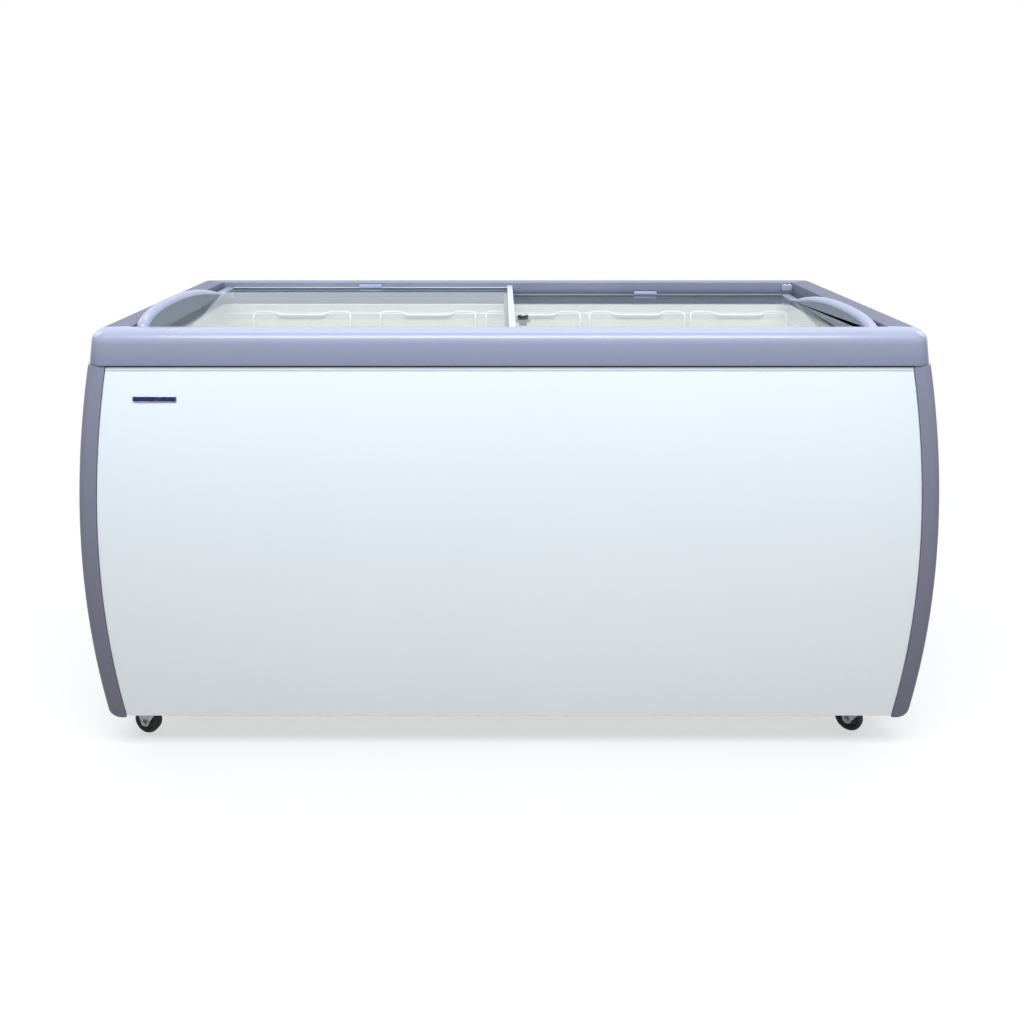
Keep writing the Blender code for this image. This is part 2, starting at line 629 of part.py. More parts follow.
# ---- baskets ----
def basket_mesh(x0, x1):
    """The open cage: cells across the floor and up the walls, and a rim turned out over the ledge."""
    middle, draft = (x0 + x1) / 2, 0.010
    outer_x, outer_y = (x1 - x0) / 2 - WIRE, BASKET_Y
    half_x, half_y = outer_x - draft, outer_y - draft
    bm = bmesh.new()
    bmesh.ops.create_grid(bm, x_segments=2, y_segments=4, size=0.5)
    floor = Matrix.Diagonal((2 * half_x, 2 * half_y, 1, 1))
    bm.transform(Matrix.Translation((middle, MID_Y, BASKET_FLOOR_Z)) @ floor)
    rim = [e for e in bm.edges if e.is_boundary]
    levels = (
        (0.63, outer_x - draft / 2, outer_y - draft / 2),
        (BASKET_TOP_Z, outer_x, outer_y))
    for z, wide, deep in levels:
        made = bmesh.ops.extrude_edge_only(bm, edges=rim)["geom"]
        rim = [g for g in made if isinstance(g, bmesh.types.BMEdge)]
        for vert in (g for g in made if isinstance(g, bmesh.types.BMVert)):
            vert.co.x = middle + (vert.co.x - middle) * wide / half_x
            vert.co.y = MID_Y + (vert.co.y - MID_Y) * deep / half_y
            vert.co.z = z
        half_x, half_y = wide, deep
    ends = [e for e in rim if all(abs(v.co.y - MID_Y) > outer_y - 0.0001 for v in e.verts)]
    made = bmesh.ops.extrude_edge_only(bm, edges=ends)["geom"]
    for vert in (g for g in made if isinstance(g, bmesh.types.BMVert)):
        vert.co.y = MID_Y + math.copysign(BASKET_RIM_Y - WIRE / 2, vert.co.y - MID_Y)
    bmesh.ops.recalc_face_normals(bm, faces=bm.faces)
    mesh = bpy.data.meshes.new("basket")
    bm.to_mesh(mesh)
    bm.free()
    return mesh


def make_baskets():
    for number, (x0, x1) in enumerate(BASKET_ENDS, start=1):
        basket = place(f"basket_{number}", basket_mesh(x0, x1), "wire_white",
                       pivot=((x0 + x1) / 2, MID_Y, BASKET_TOP_Z))
        wires = basket.modifiers.new("wires", "WIREFRAME")
        wires.thickness = WIRE
        wires.offset = 0
        wires.use_boundary = True
        wires.use_even_offset = False


# ---- casters ----
def caster_frame(corner):
    """The caster's own axes: x trails away from the swivel, y runs along the axle."""
    end, side = corner.split("_")
    x = -CASTER_X if side == "left" else CASTER_X
    y = CASTER_FRONT_Y if end == "front" else CASTER_REAR_Y
    return Matrix.Translation((x, y, 0)) @ Matrix.Rotation(math.radians(CASTER_YAW[corner]), 4, "Z")


def moved(mesh, matrix):
    mesh.transform(matrix)
    return mesh


def leg_outline():
    eye = 0.009
    arc = [(TRAIL + eye * math.cos(math.radians(a)), WHEEL_RADIUS + eye * math.sin(math.radians(a)))
           for a in range(0, -181, -36)]
    return [(-0.012, 0.068), (-0.006, 0.050), *arc[::-1], (0.037, 0.052), (0.035, 0.068)]


def make_caster(corner):
    own = caster_frame(corner)
    side_on = Matrix.Rotation(math.radians(90), 4, "X")
    pivot = own.to_translation()
    fork = place(f"{corner}_fork", moved(
        cylinder_mesh(0.0205, (0, 0, CROWN_Z), (0, 0, PLATE_Z - GAP), 20), own), "galvanised",
        pivot=(pivot.x, pivot.y, PLATE_Z))
    for offset in (-0.0120, 0.0120):
        leg = outline_mesh(leg_outline(), 0.002, Matrix.Translation((0, offset, 0)) @ side_on, "leg")
        boolean(fork, moved(leg, own), "UNION")
    axle = cylinder_mesh(AXLE_RADIUS, (TRAIL, -0.0145, WHEEL_RADIUS), (TRAIL, 0.0145, WHEEL_RADIUS),
                         12, "axle")
    boolean(fork, moved(axle, own), "UNION")
    bpy.context.view_layer.update()

    hub = own @ Vector((TRAIL, 0, WHEEL_RADIUS))
    axis = own.to_3x3() @ Vector((0, 1, 0))
    half, bore = WHEEL_WIDTH / 2, AXLE_RADIUS + GAP
    profile = ((0.0100, half), (0.0120, half - 0.002), (0.0190, half - 0.002), (0.0235, half),
               (WHEEL_RADIUS, half - 0.003), (WHEEL_RADIUS, 0.003 - half), (0.0235, -half),
               (0.0190, 0.002 - half), (0.0120, 0.002 - half), (0.0100, -half), (bore, -half),
               (bore, half))
    turned(f"{corner}_wheel", profile, "black_rubber", hub, axis=axis, steps=24, parent=fork,
           closed=True)
    if corner.startswith("front"):
        shape = ((0.024, 0.0600), (0.023, 0.0535), (0.036, 0.0530), (0.046, 0.0440), (0.072, 0.0360),
                 (0.073, 0.0390), (0.052, 0.0480), (0.040, 0.0600))
        pedal = outline_mesh(shape, 0.0206, side_on, "pedal")
        place(f"{corner}_brake_pedal", moved(pedal, own), "black_plastic",
              pivot=own @ Vector((0.029, 0, 0.056)), parent=fork)


def make_casters():
    for corner in CASTER_YAW:
        centre = caster_frame(corner).to_translation()
        place(f"{corner}_caster_plate", box_mesh(
            (centre.x - 0.031, centre.y - 0.025, PLATE_Z),
            (centre.x + 0.031, centre.y + 0.025, BASE_Z - GAP)), "galvanised")
        make_caster(corner)


# ---- machine bay ----
def make_grille():
    """Louvred cover let into the right side, with a round recess for the thermostat."""
    width, height = GRILLE_SIZE[0] / 2 - 2 * GAP, GRILLE_SIZE[1] / 2 - 2 * GAP
    face = side_x(GRILLE_Z - height) - PANEL_INSET
    inner, outer = face - 0.03, face + 0.03
    cover = place("vent_grille", box_mesh(
        (face - GRILLE_THICKNESS, GRILLE_Y - width, GRILLE_Z - height),
        (face, GRILLE_Y + width, GRILLE_Z + height)), "grey_plastic")
    slots = []
    for row in range(LOUVRE_ROWS):
        z = GRILLE_Z - height + 0.020 + row * LOUVRE_PITCH
        for side in (-1, 1):
            ends = sorted((side * LOUVRE_BRIDGE / 2, side * (LOUVRE_BRIDGE / 2 + LOUVRE_LENGTH)))
            slots.append(box_mesh((inner, GRILLE_Y + ends[0], z - LOUVRE_HEIGHT / 2),
                                  (outer, GRILLE_Y + ends[1], z + LOUVRE_HEIGHT / 2)))
    boolean(cover, joined(slots, "louvres"))
    boolean(cover, cylinder_mesh(DIAL_RADIUS, (inner, DIAL_Y, DIAL_Z), (outer, DIAL_Y, DIAL_Z), 24,
                                 "dial_hole"))
    lamp_y = DIAL_Y - LAMP_OFFSET
    boolean(cover, cylinder_mesh(LAMP_RADIUS + GAP, (inner, lamp_y, DIAL_Z), (outer, lamp_y, DIAL_Z), 16,
                                 "lamp_hole"))
    turned("power_lamp",
           ((0.0, 0.0015), (0.0030, 0.0010), (LAMP_RADIUS, 0.0), (LAMP_RADIUS, -0.014), (0.0, -0.014)),
           "white_plastic", (face, lamp_y, DIAL_Z), axis=(1, 0, 0), steps=16)
    rim, wall, bore = DIAL_RADIUS - GAP, 0.002, 0.0042
    turned("thermostat_cup",
           ((rim, 0.0), (rim, -DIAL_DEPTH), (bore, -DIAL_DEPTH), (bore, wall - DIAL_DEPTH),
            (rim - wall, wall - DIAL_DEPTH), (rim - wall, 0.0)),
           "black_plastic", (face, DIAL_Y, DIAL_Z), axis=(1, 0, 0), steps=24, closed=True)
    stem = bore - 2 * GAP
    knob = turned("thermostat_knob",
                  ((0.0, -0.001), (0.015, -0.001), (0.017, -0.003), (0.018, -0.012), (stem, -0.012),
                   (stem, -0.0190), (0.0, -0.0190)),
                  "black_plastic", (face, DIAL_Y, DIAL_Z), axis=(1, 0, 0), steps=24)
    boolean(knob, box_mesh((face - 0.0022, DIAL_Y - 0.0012, DIAL_Z + 0.004),
                           (face + 0.01, DIAL_Y + 0.0012, DIAL_Z + 0.03), "pointer_groove"))


def make_compressor():
    x, y = COMPRESSOR
    half_x, half_y, thickness = FOOT_PLATE
    plate_low = BASE_Z + 0.002 + GAP
    foot_high = plate_low + thickness
    can = turned("compressor",
                 ((0.0, 0.185), (0.040, 0.178), (0.066, 0.155), (0.074, 0.125), (0.074, 0.078),
                  (0.079, 0.074), (0.079, 0.068), (0.073, 0.064), (0.070, 0.030), (0.050, 0.006),
                  (0.0, -0.001)),
                 "black_enamel", (x, y, foot_high), steps=24)
    boolean(can, box_mesh((x - half_x, y - half_y, plate_low), (x + half_x, y + half_y, foot_high),
                          "feet"), "UNION")
    round_shade(can)


def make_fan():
    """Shroud with a bar across its hole, the motor on the bar and the blades in the hole."""
    x, y, z = FAN_CENTRE
    half_width, half_wall, top = SHROUD
    shroud = place("fan_shroud", box_mesh((x - half_width, y - half_wall, BASE_Z + 0.002 + GAP),
                                          (x + half_width, y + half_wall, top)), "galvanised")
    boolean(shroud, cylinder_mesh(FAN_RADIUS + 0.006, (x, y - 0.1, z), (x, y + 0.1, z), 24, "fan_hole"))
    boolean(shroud, box_mesh((x - half_width + 0.001, y + 0.0010, z - 0.005),
                             (x + half_width - 0.001, y + 0.0038, z + 0.005), "motor_bar"), "UNION")
    turned("fan_motor", ((0.0, 0.030), (0.022, 0.030), (0.024, 0.026), (0.024, 0.0041), (0.0, 0.0041)),
           "black_enamel", FAN_CENTRE, axis=(0, 1, 0), steps=20)
    hub = place("fan_blades", cylinder_mesh(FAN_HUB_RADIUS, (x, y - 0.022, z), (x, y + 0.0006, z), 16),
                "black_plastic", pivot=FAN_CENTRE)
    for turn in range(BLADES):
        blade = box_mesh((0.012, -0.0010, -0.020), (FAN_RADIUS, 0.0010, 0.020))
        twist = Matrix.Rotation(math.radians(28), 4, "X")
        spin = Matrix.Rotation(math.tau * turn / BLADES, 4, "Y")
        blade.transform(Matrix.Translation((x, y - 0.011, z)) @ spin @ twist)
        boolean(hub, blade, "UNION")


def make_coil():
    """The condenser: one tube in two layers of passes, up behind and down in front."""
    x = FAN_CENTRE[0]
    ends = (x - COIL_HALF, x + COIL_HALF)
    coil = []
    for row, z in enumerate(heights(COIL_LOW, COIL_HIGH, COIL_ROWS)):
        coil += [(ends[row % 2], COIL_REAR_Y, z), (ends[1 - row % 2], COIL_REAR_Y, z)]
    for row, z in enumerate(heights(COIL_HIGH, COIL_LOW, COIL_ROWS)):
        coil += [(ends[1 - row % 2], COIL_FRONT_Y, z), (ends[row % 2], COIL_FRONT_Y, z)]
    place("condenser_coil", tube_mesh(coil, COIL_TUBE, "coil"), "copper")
    turned("filter_drier", ((0.0, 0.055), (0.004, 0.055), (0.010, 0.040), (0.010, -0.040),
                            (0.004, -0.055), (0.0, -0.055)),
           "copper", (0.490, 0.200, 0.250), axis=(0, 1, 0), steps=16)


def make_gland():
    lip, neck, bore = 0.0120, 0.0082, 0.0032
    turned("cord_gland", ((bore, 0.002), (lip, 0.002), (lip, GAP), (neck, GAP), (neck, -0.014),
                          (bore, -0.014)),
           "black_plastic", (GLAND_X, REAR_Y - PANEL_INSET, GLAND_Z), axis=(0, 1, 0), steps=16,
           closed=True)


make_frame()
make_posts()
make_panels()
make_tank()
make_base()
make_badge()
make_lids()
make_baskets()
make_casters()
make_grille()
make_compressor()
make_fan()
make_coil()
make_gland()
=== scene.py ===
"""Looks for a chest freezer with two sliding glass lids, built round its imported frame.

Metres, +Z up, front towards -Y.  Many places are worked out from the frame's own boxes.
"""
import json
import math

import bmesh
import bpy
from mathutils import Matrix, Vector

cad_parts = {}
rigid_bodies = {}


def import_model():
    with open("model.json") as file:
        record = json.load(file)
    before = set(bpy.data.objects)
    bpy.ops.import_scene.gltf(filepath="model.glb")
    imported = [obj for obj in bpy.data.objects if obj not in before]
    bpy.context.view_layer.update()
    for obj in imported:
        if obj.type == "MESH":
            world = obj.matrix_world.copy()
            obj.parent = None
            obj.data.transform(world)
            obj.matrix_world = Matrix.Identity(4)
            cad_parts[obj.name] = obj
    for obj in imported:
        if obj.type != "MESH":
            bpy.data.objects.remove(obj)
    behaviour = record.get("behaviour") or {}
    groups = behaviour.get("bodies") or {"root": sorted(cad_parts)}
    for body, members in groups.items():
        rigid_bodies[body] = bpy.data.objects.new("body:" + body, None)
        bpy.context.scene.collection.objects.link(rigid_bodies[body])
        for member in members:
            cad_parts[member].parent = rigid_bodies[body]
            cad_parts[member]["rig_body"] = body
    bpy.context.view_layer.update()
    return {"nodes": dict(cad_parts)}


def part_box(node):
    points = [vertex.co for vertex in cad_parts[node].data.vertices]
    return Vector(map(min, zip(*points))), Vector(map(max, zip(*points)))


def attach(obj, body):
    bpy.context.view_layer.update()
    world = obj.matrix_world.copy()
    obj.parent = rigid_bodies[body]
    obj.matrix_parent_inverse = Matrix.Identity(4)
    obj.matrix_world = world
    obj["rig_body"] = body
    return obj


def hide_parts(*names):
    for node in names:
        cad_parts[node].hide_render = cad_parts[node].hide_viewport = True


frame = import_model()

NODES = frame["nodes"]
CORNERS = ("front_left", "front_right", "rear_left", "rear_right")

# ---- sizes taken from the frame ----
REAR_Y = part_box("frame_rear_rail")[1].y
RAIL_FRONT_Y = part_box("frame_front_rail")[0].y
RIM_Z, FRAME_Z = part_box("frame_front_rail")[1].z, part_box("frame_front_rail")[0].z
HALF_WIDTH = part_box("front_right_post")[1].x
SKIRT_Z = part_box("front_right_post")[0].z
MID_Y = (RAIL_FRONT_Y + REAR_Y) / 2
TANK_LOW, TANK_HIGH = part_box("inner_tank")

# ---- sizes of the looks ----
BOW_Z, BOW_RADIUS = 0.38, 2.45      # the barrel curve: widest height and radius
EDGE_Z = 0.778                      # where the frame's top starts to round over
EDGE_FRONT, EDGE_SIDE, EDGE_REAR = 0.024, 0.020, 0.009
RIM_DEPTH, STEP_DEPTH = 0.045, 0.011
UPPER_TRACK_Z, LOWER_TRACK_Z, THROAT_Z = 0.783, 0.768, 0.755
THROAT_X = 0.671
RAIL_WALL = 0.020
POST_WIDTH, POST_WALL = 0.035, 0.0045
PANEL_INSET, PANEL_WALL = 0.003, 0.002
TANK_WALL, TANK_FLANGE_X, TANK_FLANGE_Y = 0.0015, 0.040, 0.030
LEDGE, LEDGE_Z = 0.012, 0.734
TANK_FLOOR_Z, STEP_FLOOR_Z, STEP_X = 0.155, 0.40, 0.40
TANK_ROUNDING, STEP_ROUNDING = 0.018, 0.005
DRAIN_X = -0.45
ARCH_PEAK, ARCH_END = 0.200, 0.500  # depths of a handle's highest point and of its rear foot
WHEEL_RADIUS, TRAIL = 0.0255, 0.020
SWIVEL_YAW = {"front_left": 165, "front_right": 140, "rear_left": 110, "rear_right": 60}
HAIR = 0.0003                       # clearance between touching pieces


def bow(z):
    """How far the body has drawn in at height z from its widest height."""
    return (z - BOW_Z) ** 2 / (2 * BOW_RADIUS)


def side_x(z):
    return HALF_WIDTH - bow(z)


def front_y(z):
    return -REAR_Y + bow(z)


def spread(low, high, count):
    return [low + (high - low) * i / (count - 1) for i in range(count)]


# ---- materials ----
def add(tree, kind, inputs=None, **settings):
    """Adds a shader node; an input given as a socket is linked, anything else is set."""
    made = tree.nodes.new("ShaderNode" + kind)
    for key, value in settings.items():
        setattr(made, key, value)
    for key, value in (inputs or {}).items():
        if isinstance(value, bpy.types.NodeSocket):
            tree.links.new(value, made.inputs[key])
        else:
            made.inputs[key].default_value = value
    return made


def empty_material(name):
    material = bpy.data.materials.new(name)
    material.use_nodes = True
    tree = material.node_tree
    tree.nodes.clear()
    return material, tree, add(tree, "OutputMaterial")


def object_place(tree, stretch=(1, 1, 1)):
    """Points on the piece itself, so that a pattern moves with it."""
    coordinates = add(tree, "TexCoord")
    return add(tree, "Mapping", {"Vector": coordinates.outputs["Object"], "Scale": stretch}).outputs[0]


def blended(tree, factor, low, high):
    """A colour between low and high, by a factor socket."""
    mix = add(tree, "Mix", {"Factor": factor}, data_type="RGBA")
    mix.inputs[6].default_value = (*low, 1)
    mix.inputs[7].default_value = (*high, 1)
    return mix.outputs[2]


def ranged(tree, value, low, high, start=0.3, end=0.7):
    return add(tree, "MapRange", {"Value": value, "From Min": start, "From Max": end,
                                  "To Min": low, "To Max": high}).outputs[0]


def pattern(tree, kind, scale, place):
    if kind == "cells":
        cells = add(tree, "TexVoronoi", {"Vector": place, "Scale": scale}, feature="SMOOTH_F1")
        cells.inputs["Smoothness"].default_value = 0.6
        return cells.outputs["Distance"]
    detail = 6 if kind == "grain" else 2
    return add(tree, "TexNoise", {"Vector": place, "Scale": scale, "Detail": detail}).outputs[0]


def finish(name, low, high, roughness, bump, metallic=0.0, coat=0.0, specular=0.5,
           patch_scale=5.0, stretch=(1, 1, 1), wear=None, fade=None):
    """A Principled surface with patchy colour, uneven gloss, a fine relief and, for some, worn edges; others
    get painted shade towards the bottom.

    roughness is its lowest and highest value; bump is the pattern's kind, scale, strength and depth;
    fade is two heights and the tint of a painted shade that darkens the colour towards the lower one.
    """
    material, tree, output = empty_material(name)
    place = object_place(tree, stretch)
    patches = pattern(tree, "soft", patch_scale, place)
    kind, scale, strength, depth = bump
    relief = pattern(tree, kind, scale, place)
    colour = blended(tree, ranged(tree, patches, 0, 1), low, high)
    # painted shade: the colour is multiplied by the tint, fully at the lower height and fading out at the
    # upper one
    if fade:
        low_z, high_z, painted_shade_tint = fade
        height = add(tree, "SeparateXYZ", {0: object_place(tree)}).outputs["Z"]
        shade = add(tree, "Mix", {"Factor": ranged(tree, height, 1, 0, low_z, high_z)}, data_type="RGBA",
                    blend_type="MULTIPLY")
        tree.links.new(colour, shade.inputs[6])
        shade.inputs[7].default_value = (*painted_shade_tint, 1)
        colour = shade.outputs[2]
    if wear:
        edges = add(tree, "NewGeometry").outputs["Pointiness"]
        breakup = pattern(tree, "grain", 60.0, place)
        ragged = add(tree, "Math", {0: edges, 1: ranged(tree, breakup, -0.03, 0.03)}, operation="ADD")
        worn = add(tree, "Mix", {"Factor": ranged(tree, ragged.outputs[0], 0, 0.7, 0.52, 0.60)},
                   data_type="RGBA")
        tree.links.new(colour, worn.inputs[6])
        worn.inputs[7].default_value = (*wear, 1)
        colour = worn.outputs[2]
    normal = add(tree, "Bump", {"Height": relief, "Strength": strength, "Distance": depth}).outputs[0]
    shader = add(tree, "BsdfPrincipled", {
        "Base Color": colour, "Roughness": ranged(tree, patches, *roughness), "Normal": normal,
        "Metallic": metallic, "Specular IOR Level": specular,
        "Coat Weight": coat, "Coat Roughness": 0.12})
    tree.links.new(shader.outputs[0], output.inputs[0])
    return material


def glass_finish(name, tint, haze):
    """A clear pane: what is behind it, and a mirror image that grows towards grazing angles.

    Only the outer faces mirror, so that light inside a pane leaves it.
    """
    material, tree, output = empty_material(name)
    place = object_place(tree)
    see_through = add(tree, "BsdfTransparent", {"Color": (*tint, 1)})
    mirror = add(tree, "BsdfGlossy", {
        "Color": (0.95, 0.97, 1.0, 1),
        "Roughness": ranged(tree, pattern(tree, "soft", 3.0, place), 0.02, 0.035)})
    fresnel = add(tree, "Fresnel", {"IOR": 1.62})
    outside = add(tree, "Math", {0: 1.0, 1: add(tree, "NewGeometry").outputs["Backfacing"]},
                  operation="SUBTRACT")
    share = add(tree, "Math", {0: fresnel.outputs[0], 1: outside.outputs[0]}, operation="MULTIPLY")
    pane = add(tree, "MixShader", {0: share.outputs[0], 1: see_through.outputs[0], 2: mirror.outputs[0]})
    smears = ranged(tree, pattern(tree, "grain", 7.0, object_place(tree, (1, 3, 1))), 0, haze, 0.45, 0.8)
    film = add(tree, "BsdfDiffuse", {"Color": (0.85, 0.88, 0.88, 1)})
    mixed = add(tree, "MixShader", {0: smears, 1: pane.outputs[0], 2: film.outputs[0]})
    tree.links.new(mixed.outputs[0], output.inputs[0])
    return material


def tank_finish():
    """Embossed, coated aluminium: a fine orange-peel relief, paler and faintly green below the ledge."""
    material, tree, output = empty_material("embossed_tank")
    place = object_place(tree)
    height = add(tree, "SeparateXYZ", {0: place}).outputs["Z"]
    patches = pattern(tree, "soft", 4.0, place)
    collar = blended(tree, ranged(tree, patches, 0, 1), (0.66, 0.665, 0.645), (0.70, 0.705, 0.68))
    body = blended(tree, ranged(tree, patches, 0, 1), (0.74, 0.765, 0.70), (0.81, 0.83, 0.77))
    zone = add(tree, "Mix", {"Factor": ranged(tree, height, 0, 1, 0.7185, 0.7215)}, data_type="RGBA")
    tree.links.new(body, zone.inputs[6])
    tree.links.new(collar, zone.inputs[7])
    relief = pattern(tree, "cells", 260.0, place)
    normal = add(tree, "Bump", {"Height": relief, "Strength": 0.35, "Distance": 0.0006}).outputs[0]
    shader = add(tree, "BsdfPrincipled", {
        "Base Color": zone.outputs[2], "Roughness": ranged(tree, patches, 0.34, 0.44),
        "Normal": normal, "Metallic": 0.0, "Coat Weight": 0.25, "Coat Roughness": 0.12})
    tree.links.new(shader.outputs[0], output.inputs[0])
    return material


def galvanised_finish():
    """Zinc-coated steel with its crystal spangle."""
    material, tree, output = empty_material("galvanised_steel")
    place = object_place(tree)
    cells = add(tree, "TexVoronoi", {"Vector": place, "Scale": 95.0})
    tone = add(tree, "SeparateColor", {0: cells.outputs["Color"]}).outputs[0]
    colour = blended(tree, tone, (0.40, 0.41, 0.42), (0.60, 0.61, 0.62))
    relief = pattern(tree, "grain", 300.0, place)
    normal = add(tree, "Bump", {"Height": relief, "Strength": 0.15, "Distance": 0.0003}).outputs[0]
    shader = add(tree, "BsdfPrincipled", {
        "Base Color": colour, "Roughness": ranged(tree, tone, 0.30, 0.48, 0, 1), "Normal": normal,
        "Metallic": 0.85})
    tree.links.new(shader.outputs[0], output.inputs[0])
    return material


def floor_finish():
    """A pale floor, partly see-through, that fades out into the white backdrop away from the object."""
    material, tree, output = empty_material("pale_floor")
    place = object_place(tree)
    tone = ranged(tree, pattern(tree, "soft", 2.0, place), 0, 1)
    surface = add(tree, "BsdfDiffuse", {"Color": blended(tree, tone, (0.78, 0.78, 0.78), (0.81, 0.81, 0.81))})
    away = add(tree, "VectorMath", {0: place}, operation="LENGTH").outputs["Value"]
    clear = add(tree, "BsdfTransparent")
    fade = add(tree, "MixShader", {0: ranged(tree, away, 0.6, 1, 0.85, 2.1), 1: surface.outputs[0],
                                   2: clear.outputs[0]})
    tree.links.new(fade.outputs[0], output.inputs[0])
    return material


GRAIN, FINE_GRAIN = ("grain", 900.0, 0.12, 0.0002), ("grain", 700.0, 0.08, 0.0002)
LAVENDER_LOW, LAVENDER_HIGH = (0.321, 0.343, 0.463), (0.329, 0.351, 0.472)
LOOK = {
    # white_steel's fade is painted shade: the panels turn darker and warmer from 0.62 m down to the floor
    "white_steel": finish("white_enamelled_steel", (0.83, 0.885, 0.92), (0.86, 0.91, 0.94),
                          (0.30, 0.38), ("soft", 420.0, 0.05, 0.0003), coat=0.15, patch_scale=1.5,
                          fade=(0.05, 0.62, (0.99, 0.94, 0.90))),
    "grey_plastic": finish("lavender_grey_plastic", LAVENDER_LOW, LAVENDER_HIGH, (0.265, 0.275),
                           ("grain", 900.0, 0.10, 0.0002), coat=0.12),
    # painted shade: the side rims of the one frame moulding given a darker colour than its front rail
    "side_rim_painted_shade": finish("side_rim_painted_shade_plastic", (0.135, 0.14, 0.20), (0.155, 0.16, 0.22), (0.42, 0.50),
                           GRAIN, specular=0.25),
    # painted shade: the handles' flat side webs given a darker colour than their bullnose
    "handle_web_painted_shade": finish("handle_web_painted_shade_plastic", (0.18, 0.205, 0.265), (0.20, 0.225, 0.285), (0.36, 0.44),
                          ("grain", 900.0, 0.10, 0.0002), specular=0.35),
    # painted shade: a strip a little darker than the panel, standing for the shaded band under the rail's
    # overhang
    "shade_band_painted": finish("painted_shade_band_strip", (0.74, 0.80, 0.84), (0.78, 0.84, 0.88), (0.34, 0.42),
                           FINE_GRAIN),
    "clip_plastic": finish("grey_clip_plastic", (0.36, 0.38, 0.56), (0.40, 0.42, 0.60), (0.34, 0.42),
                           FINE_GRAIN),
    # post_plastic's fade is painted shade: the posts and grille turn darker from 0.74 m down to the floor
    "post_plastic": finish("bluish_grey_plastic", (0.244, 0.254, 0.334), (0.251, 0.261, 0.341),
                           (0.38, 0.46), GRAIN,
                           fade=(0.05, 0.74, (0.57, 0.52, 0.505))),
    "tank_coated": tank_finish(),
    "foam": finish("polyurethane_foam", (0.80, 0.70, 0.42), (0.88, 0.80, 0.55), (0.85, 0.95),
                   ("grain", 220.0, 0.6, 0.002), patch_scale=20.0),
    "glass": glass_finish("lid_glass", (0.96, 0.965, 0.94), 0.02),
    "glass_edge": finish("glass_edge", (0.30, 0.46, 0.43), (0.38, 0.54, 0.50), (0.10, 0.20),
                         ("soft", 200.0, 0.05, 0.0002), coat=0.3),
    "white_plastic": finish("pale_lid_plastic", (0.50, 0.525, 0.66), (0.55, 0.575, 0.70), (0.30, 0.38),
                            FINE_GRAIN),
    # painted shade: the inner faces and rear rim of the same frame moulding given a darker colour
    "inner_painted_shade": finish("frame_inner_painted_shade_plastic", (0.195, 0.21, 0.29), (0.22, 0.235, 0.315), (0.38, 0.46),
                            GRAIN, specular=0.3),
    # painted shade: the recessed glass tracks of the same frame moulding given a near-black colour
    "track_painted_shade": finish("track_recess_painted_shade_plastic", (0.085, 0.10, 0.14), (0.10, 0.115, 0.16), (0.40, 0.50),
                            GRAIN, specular=0.3),
    "runner_plastic": finish("grey_runner_plastic", (0.20, 0.215, 0.275), (0.23, 0.245, 0.31), (0.30, 0.40),
                             ("grain", 800.0, 0.1, 0.0002)),
    "lamp_lens": finish("green_lamp_lens", (0.05, 0.42, 0.12), (0.08, 0.55, 0.18), (0.10, 0.18),
                        ("soft", 300.0, 0.1, 0.0002), coat=0.5),
    "wire_white": finish("dipped_white_wire", (0.86, 0.89, 0.90), (0.92, 0.94, 0.95), (0.25, 0.34),
                         ("soft", 260.0, 0.15, 0.0004), coat=0.2, patch_scale=30.0),
    "galvanised": galvanised_finish(),
    "wheel_black": finish("black_tyre_rubber", (0.010, 0.010, 0.011), (0.020, 0.020, 0.021),
                          (0.50, 0.62), ("grain", 500.0, 0.3, 0.0003), patch_scale=40.0,
                          wear=(0.05, 0.05, 0.048)),
    "seal_rubber": finish("seal_rubber", (0.030, 0.031, 0.034), (0.045, 0.046, 0.050), (0.55, 0.68),
                          ("grain", 600.0, 0.2, 0.0002), patch_scale=25.0),
    "black_plastic": finish("black_moulded_plastic", (0.018, 0.018, 0.020), (0.028, 0.028, 0.031),
                            (0.36, 0.46), ("grain", 800.0, 0.2, 0.0002), patch_scale=30.0,
                            wear=(0.07, 0.07, 0.075)),
    "black_enamel": finish("black_baked_enamel", (0.016, 0.016, 0.017), (0.026, 0.026, 0.028),
                           (0.25, 0.36), ("soft", 180.0, 0.15, 0.0006), coat=0.3, patch_scale=15.0),
    "chrome": finish("chromed_metal", (0.66, 0.67, 0.69), (0.74, 0.75, 0.77), (0.12, 0.22),
                     ("soft", 900.0, 0.05, 0.0001), metallic=1.0, patch_scale=60.0),
    "copper": finish("copper_tube", (0.62, 0.30, 0.18), (0.74, 0.40, 0.26), (0.26, 0.40),
                     ("grain", 300.0, 0.1, 0.0003), metallic=1.0, patch_scale=25.0),
    "badge_navy": finish("navy_badge", (0.012, 0.016, 0.075), (0.018, 0.024, 0.10), (0.22, 0.30),
                         ("soft", 500.0, 0.05, 0.0001), coat=0.5, patch_scale=40.0),
}


# ---- mesh helpers ----
def mesh_from(bm, name, recalculate=True):
    if recalculate:
        bmesh.ops.recalc_face_normals(bm, faces=bm.faces)
    mesh = bpy.data.meshes.new(name)
    bm.to_mesh(mesh)
    bm.free()
    return mesh


def dress(data, look, sharp):
    """Gives a mesh one finish, smooth except past an angle."""
    data.materials.clear()
    data.materials.append(LOOK[look])
    data.shade_smooth()
    data.set_sharp_from_angle(angle=math.radians(sharp))


def show(name, data, body, slot, look=None, replaces=(), sharp=35):
    """Makes a visible piece that rides on a body and takes a slot's finish."""
    piece = bpy.data.objects.new(name, data)
    bpy.context.scene.collection.objects.link(piece)
    data.materials.clear()
    data.materials.append(LOOK[look or slot])
    if isinstance(data, bpy.types.Mesh) and sharp is not None:
        data.shade_smooth()
        data.set_sharp_from_angle(angle=math.radians(sharp))
    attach(piece, body)
    if replaces:
        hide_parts(*replaces)
    return piece


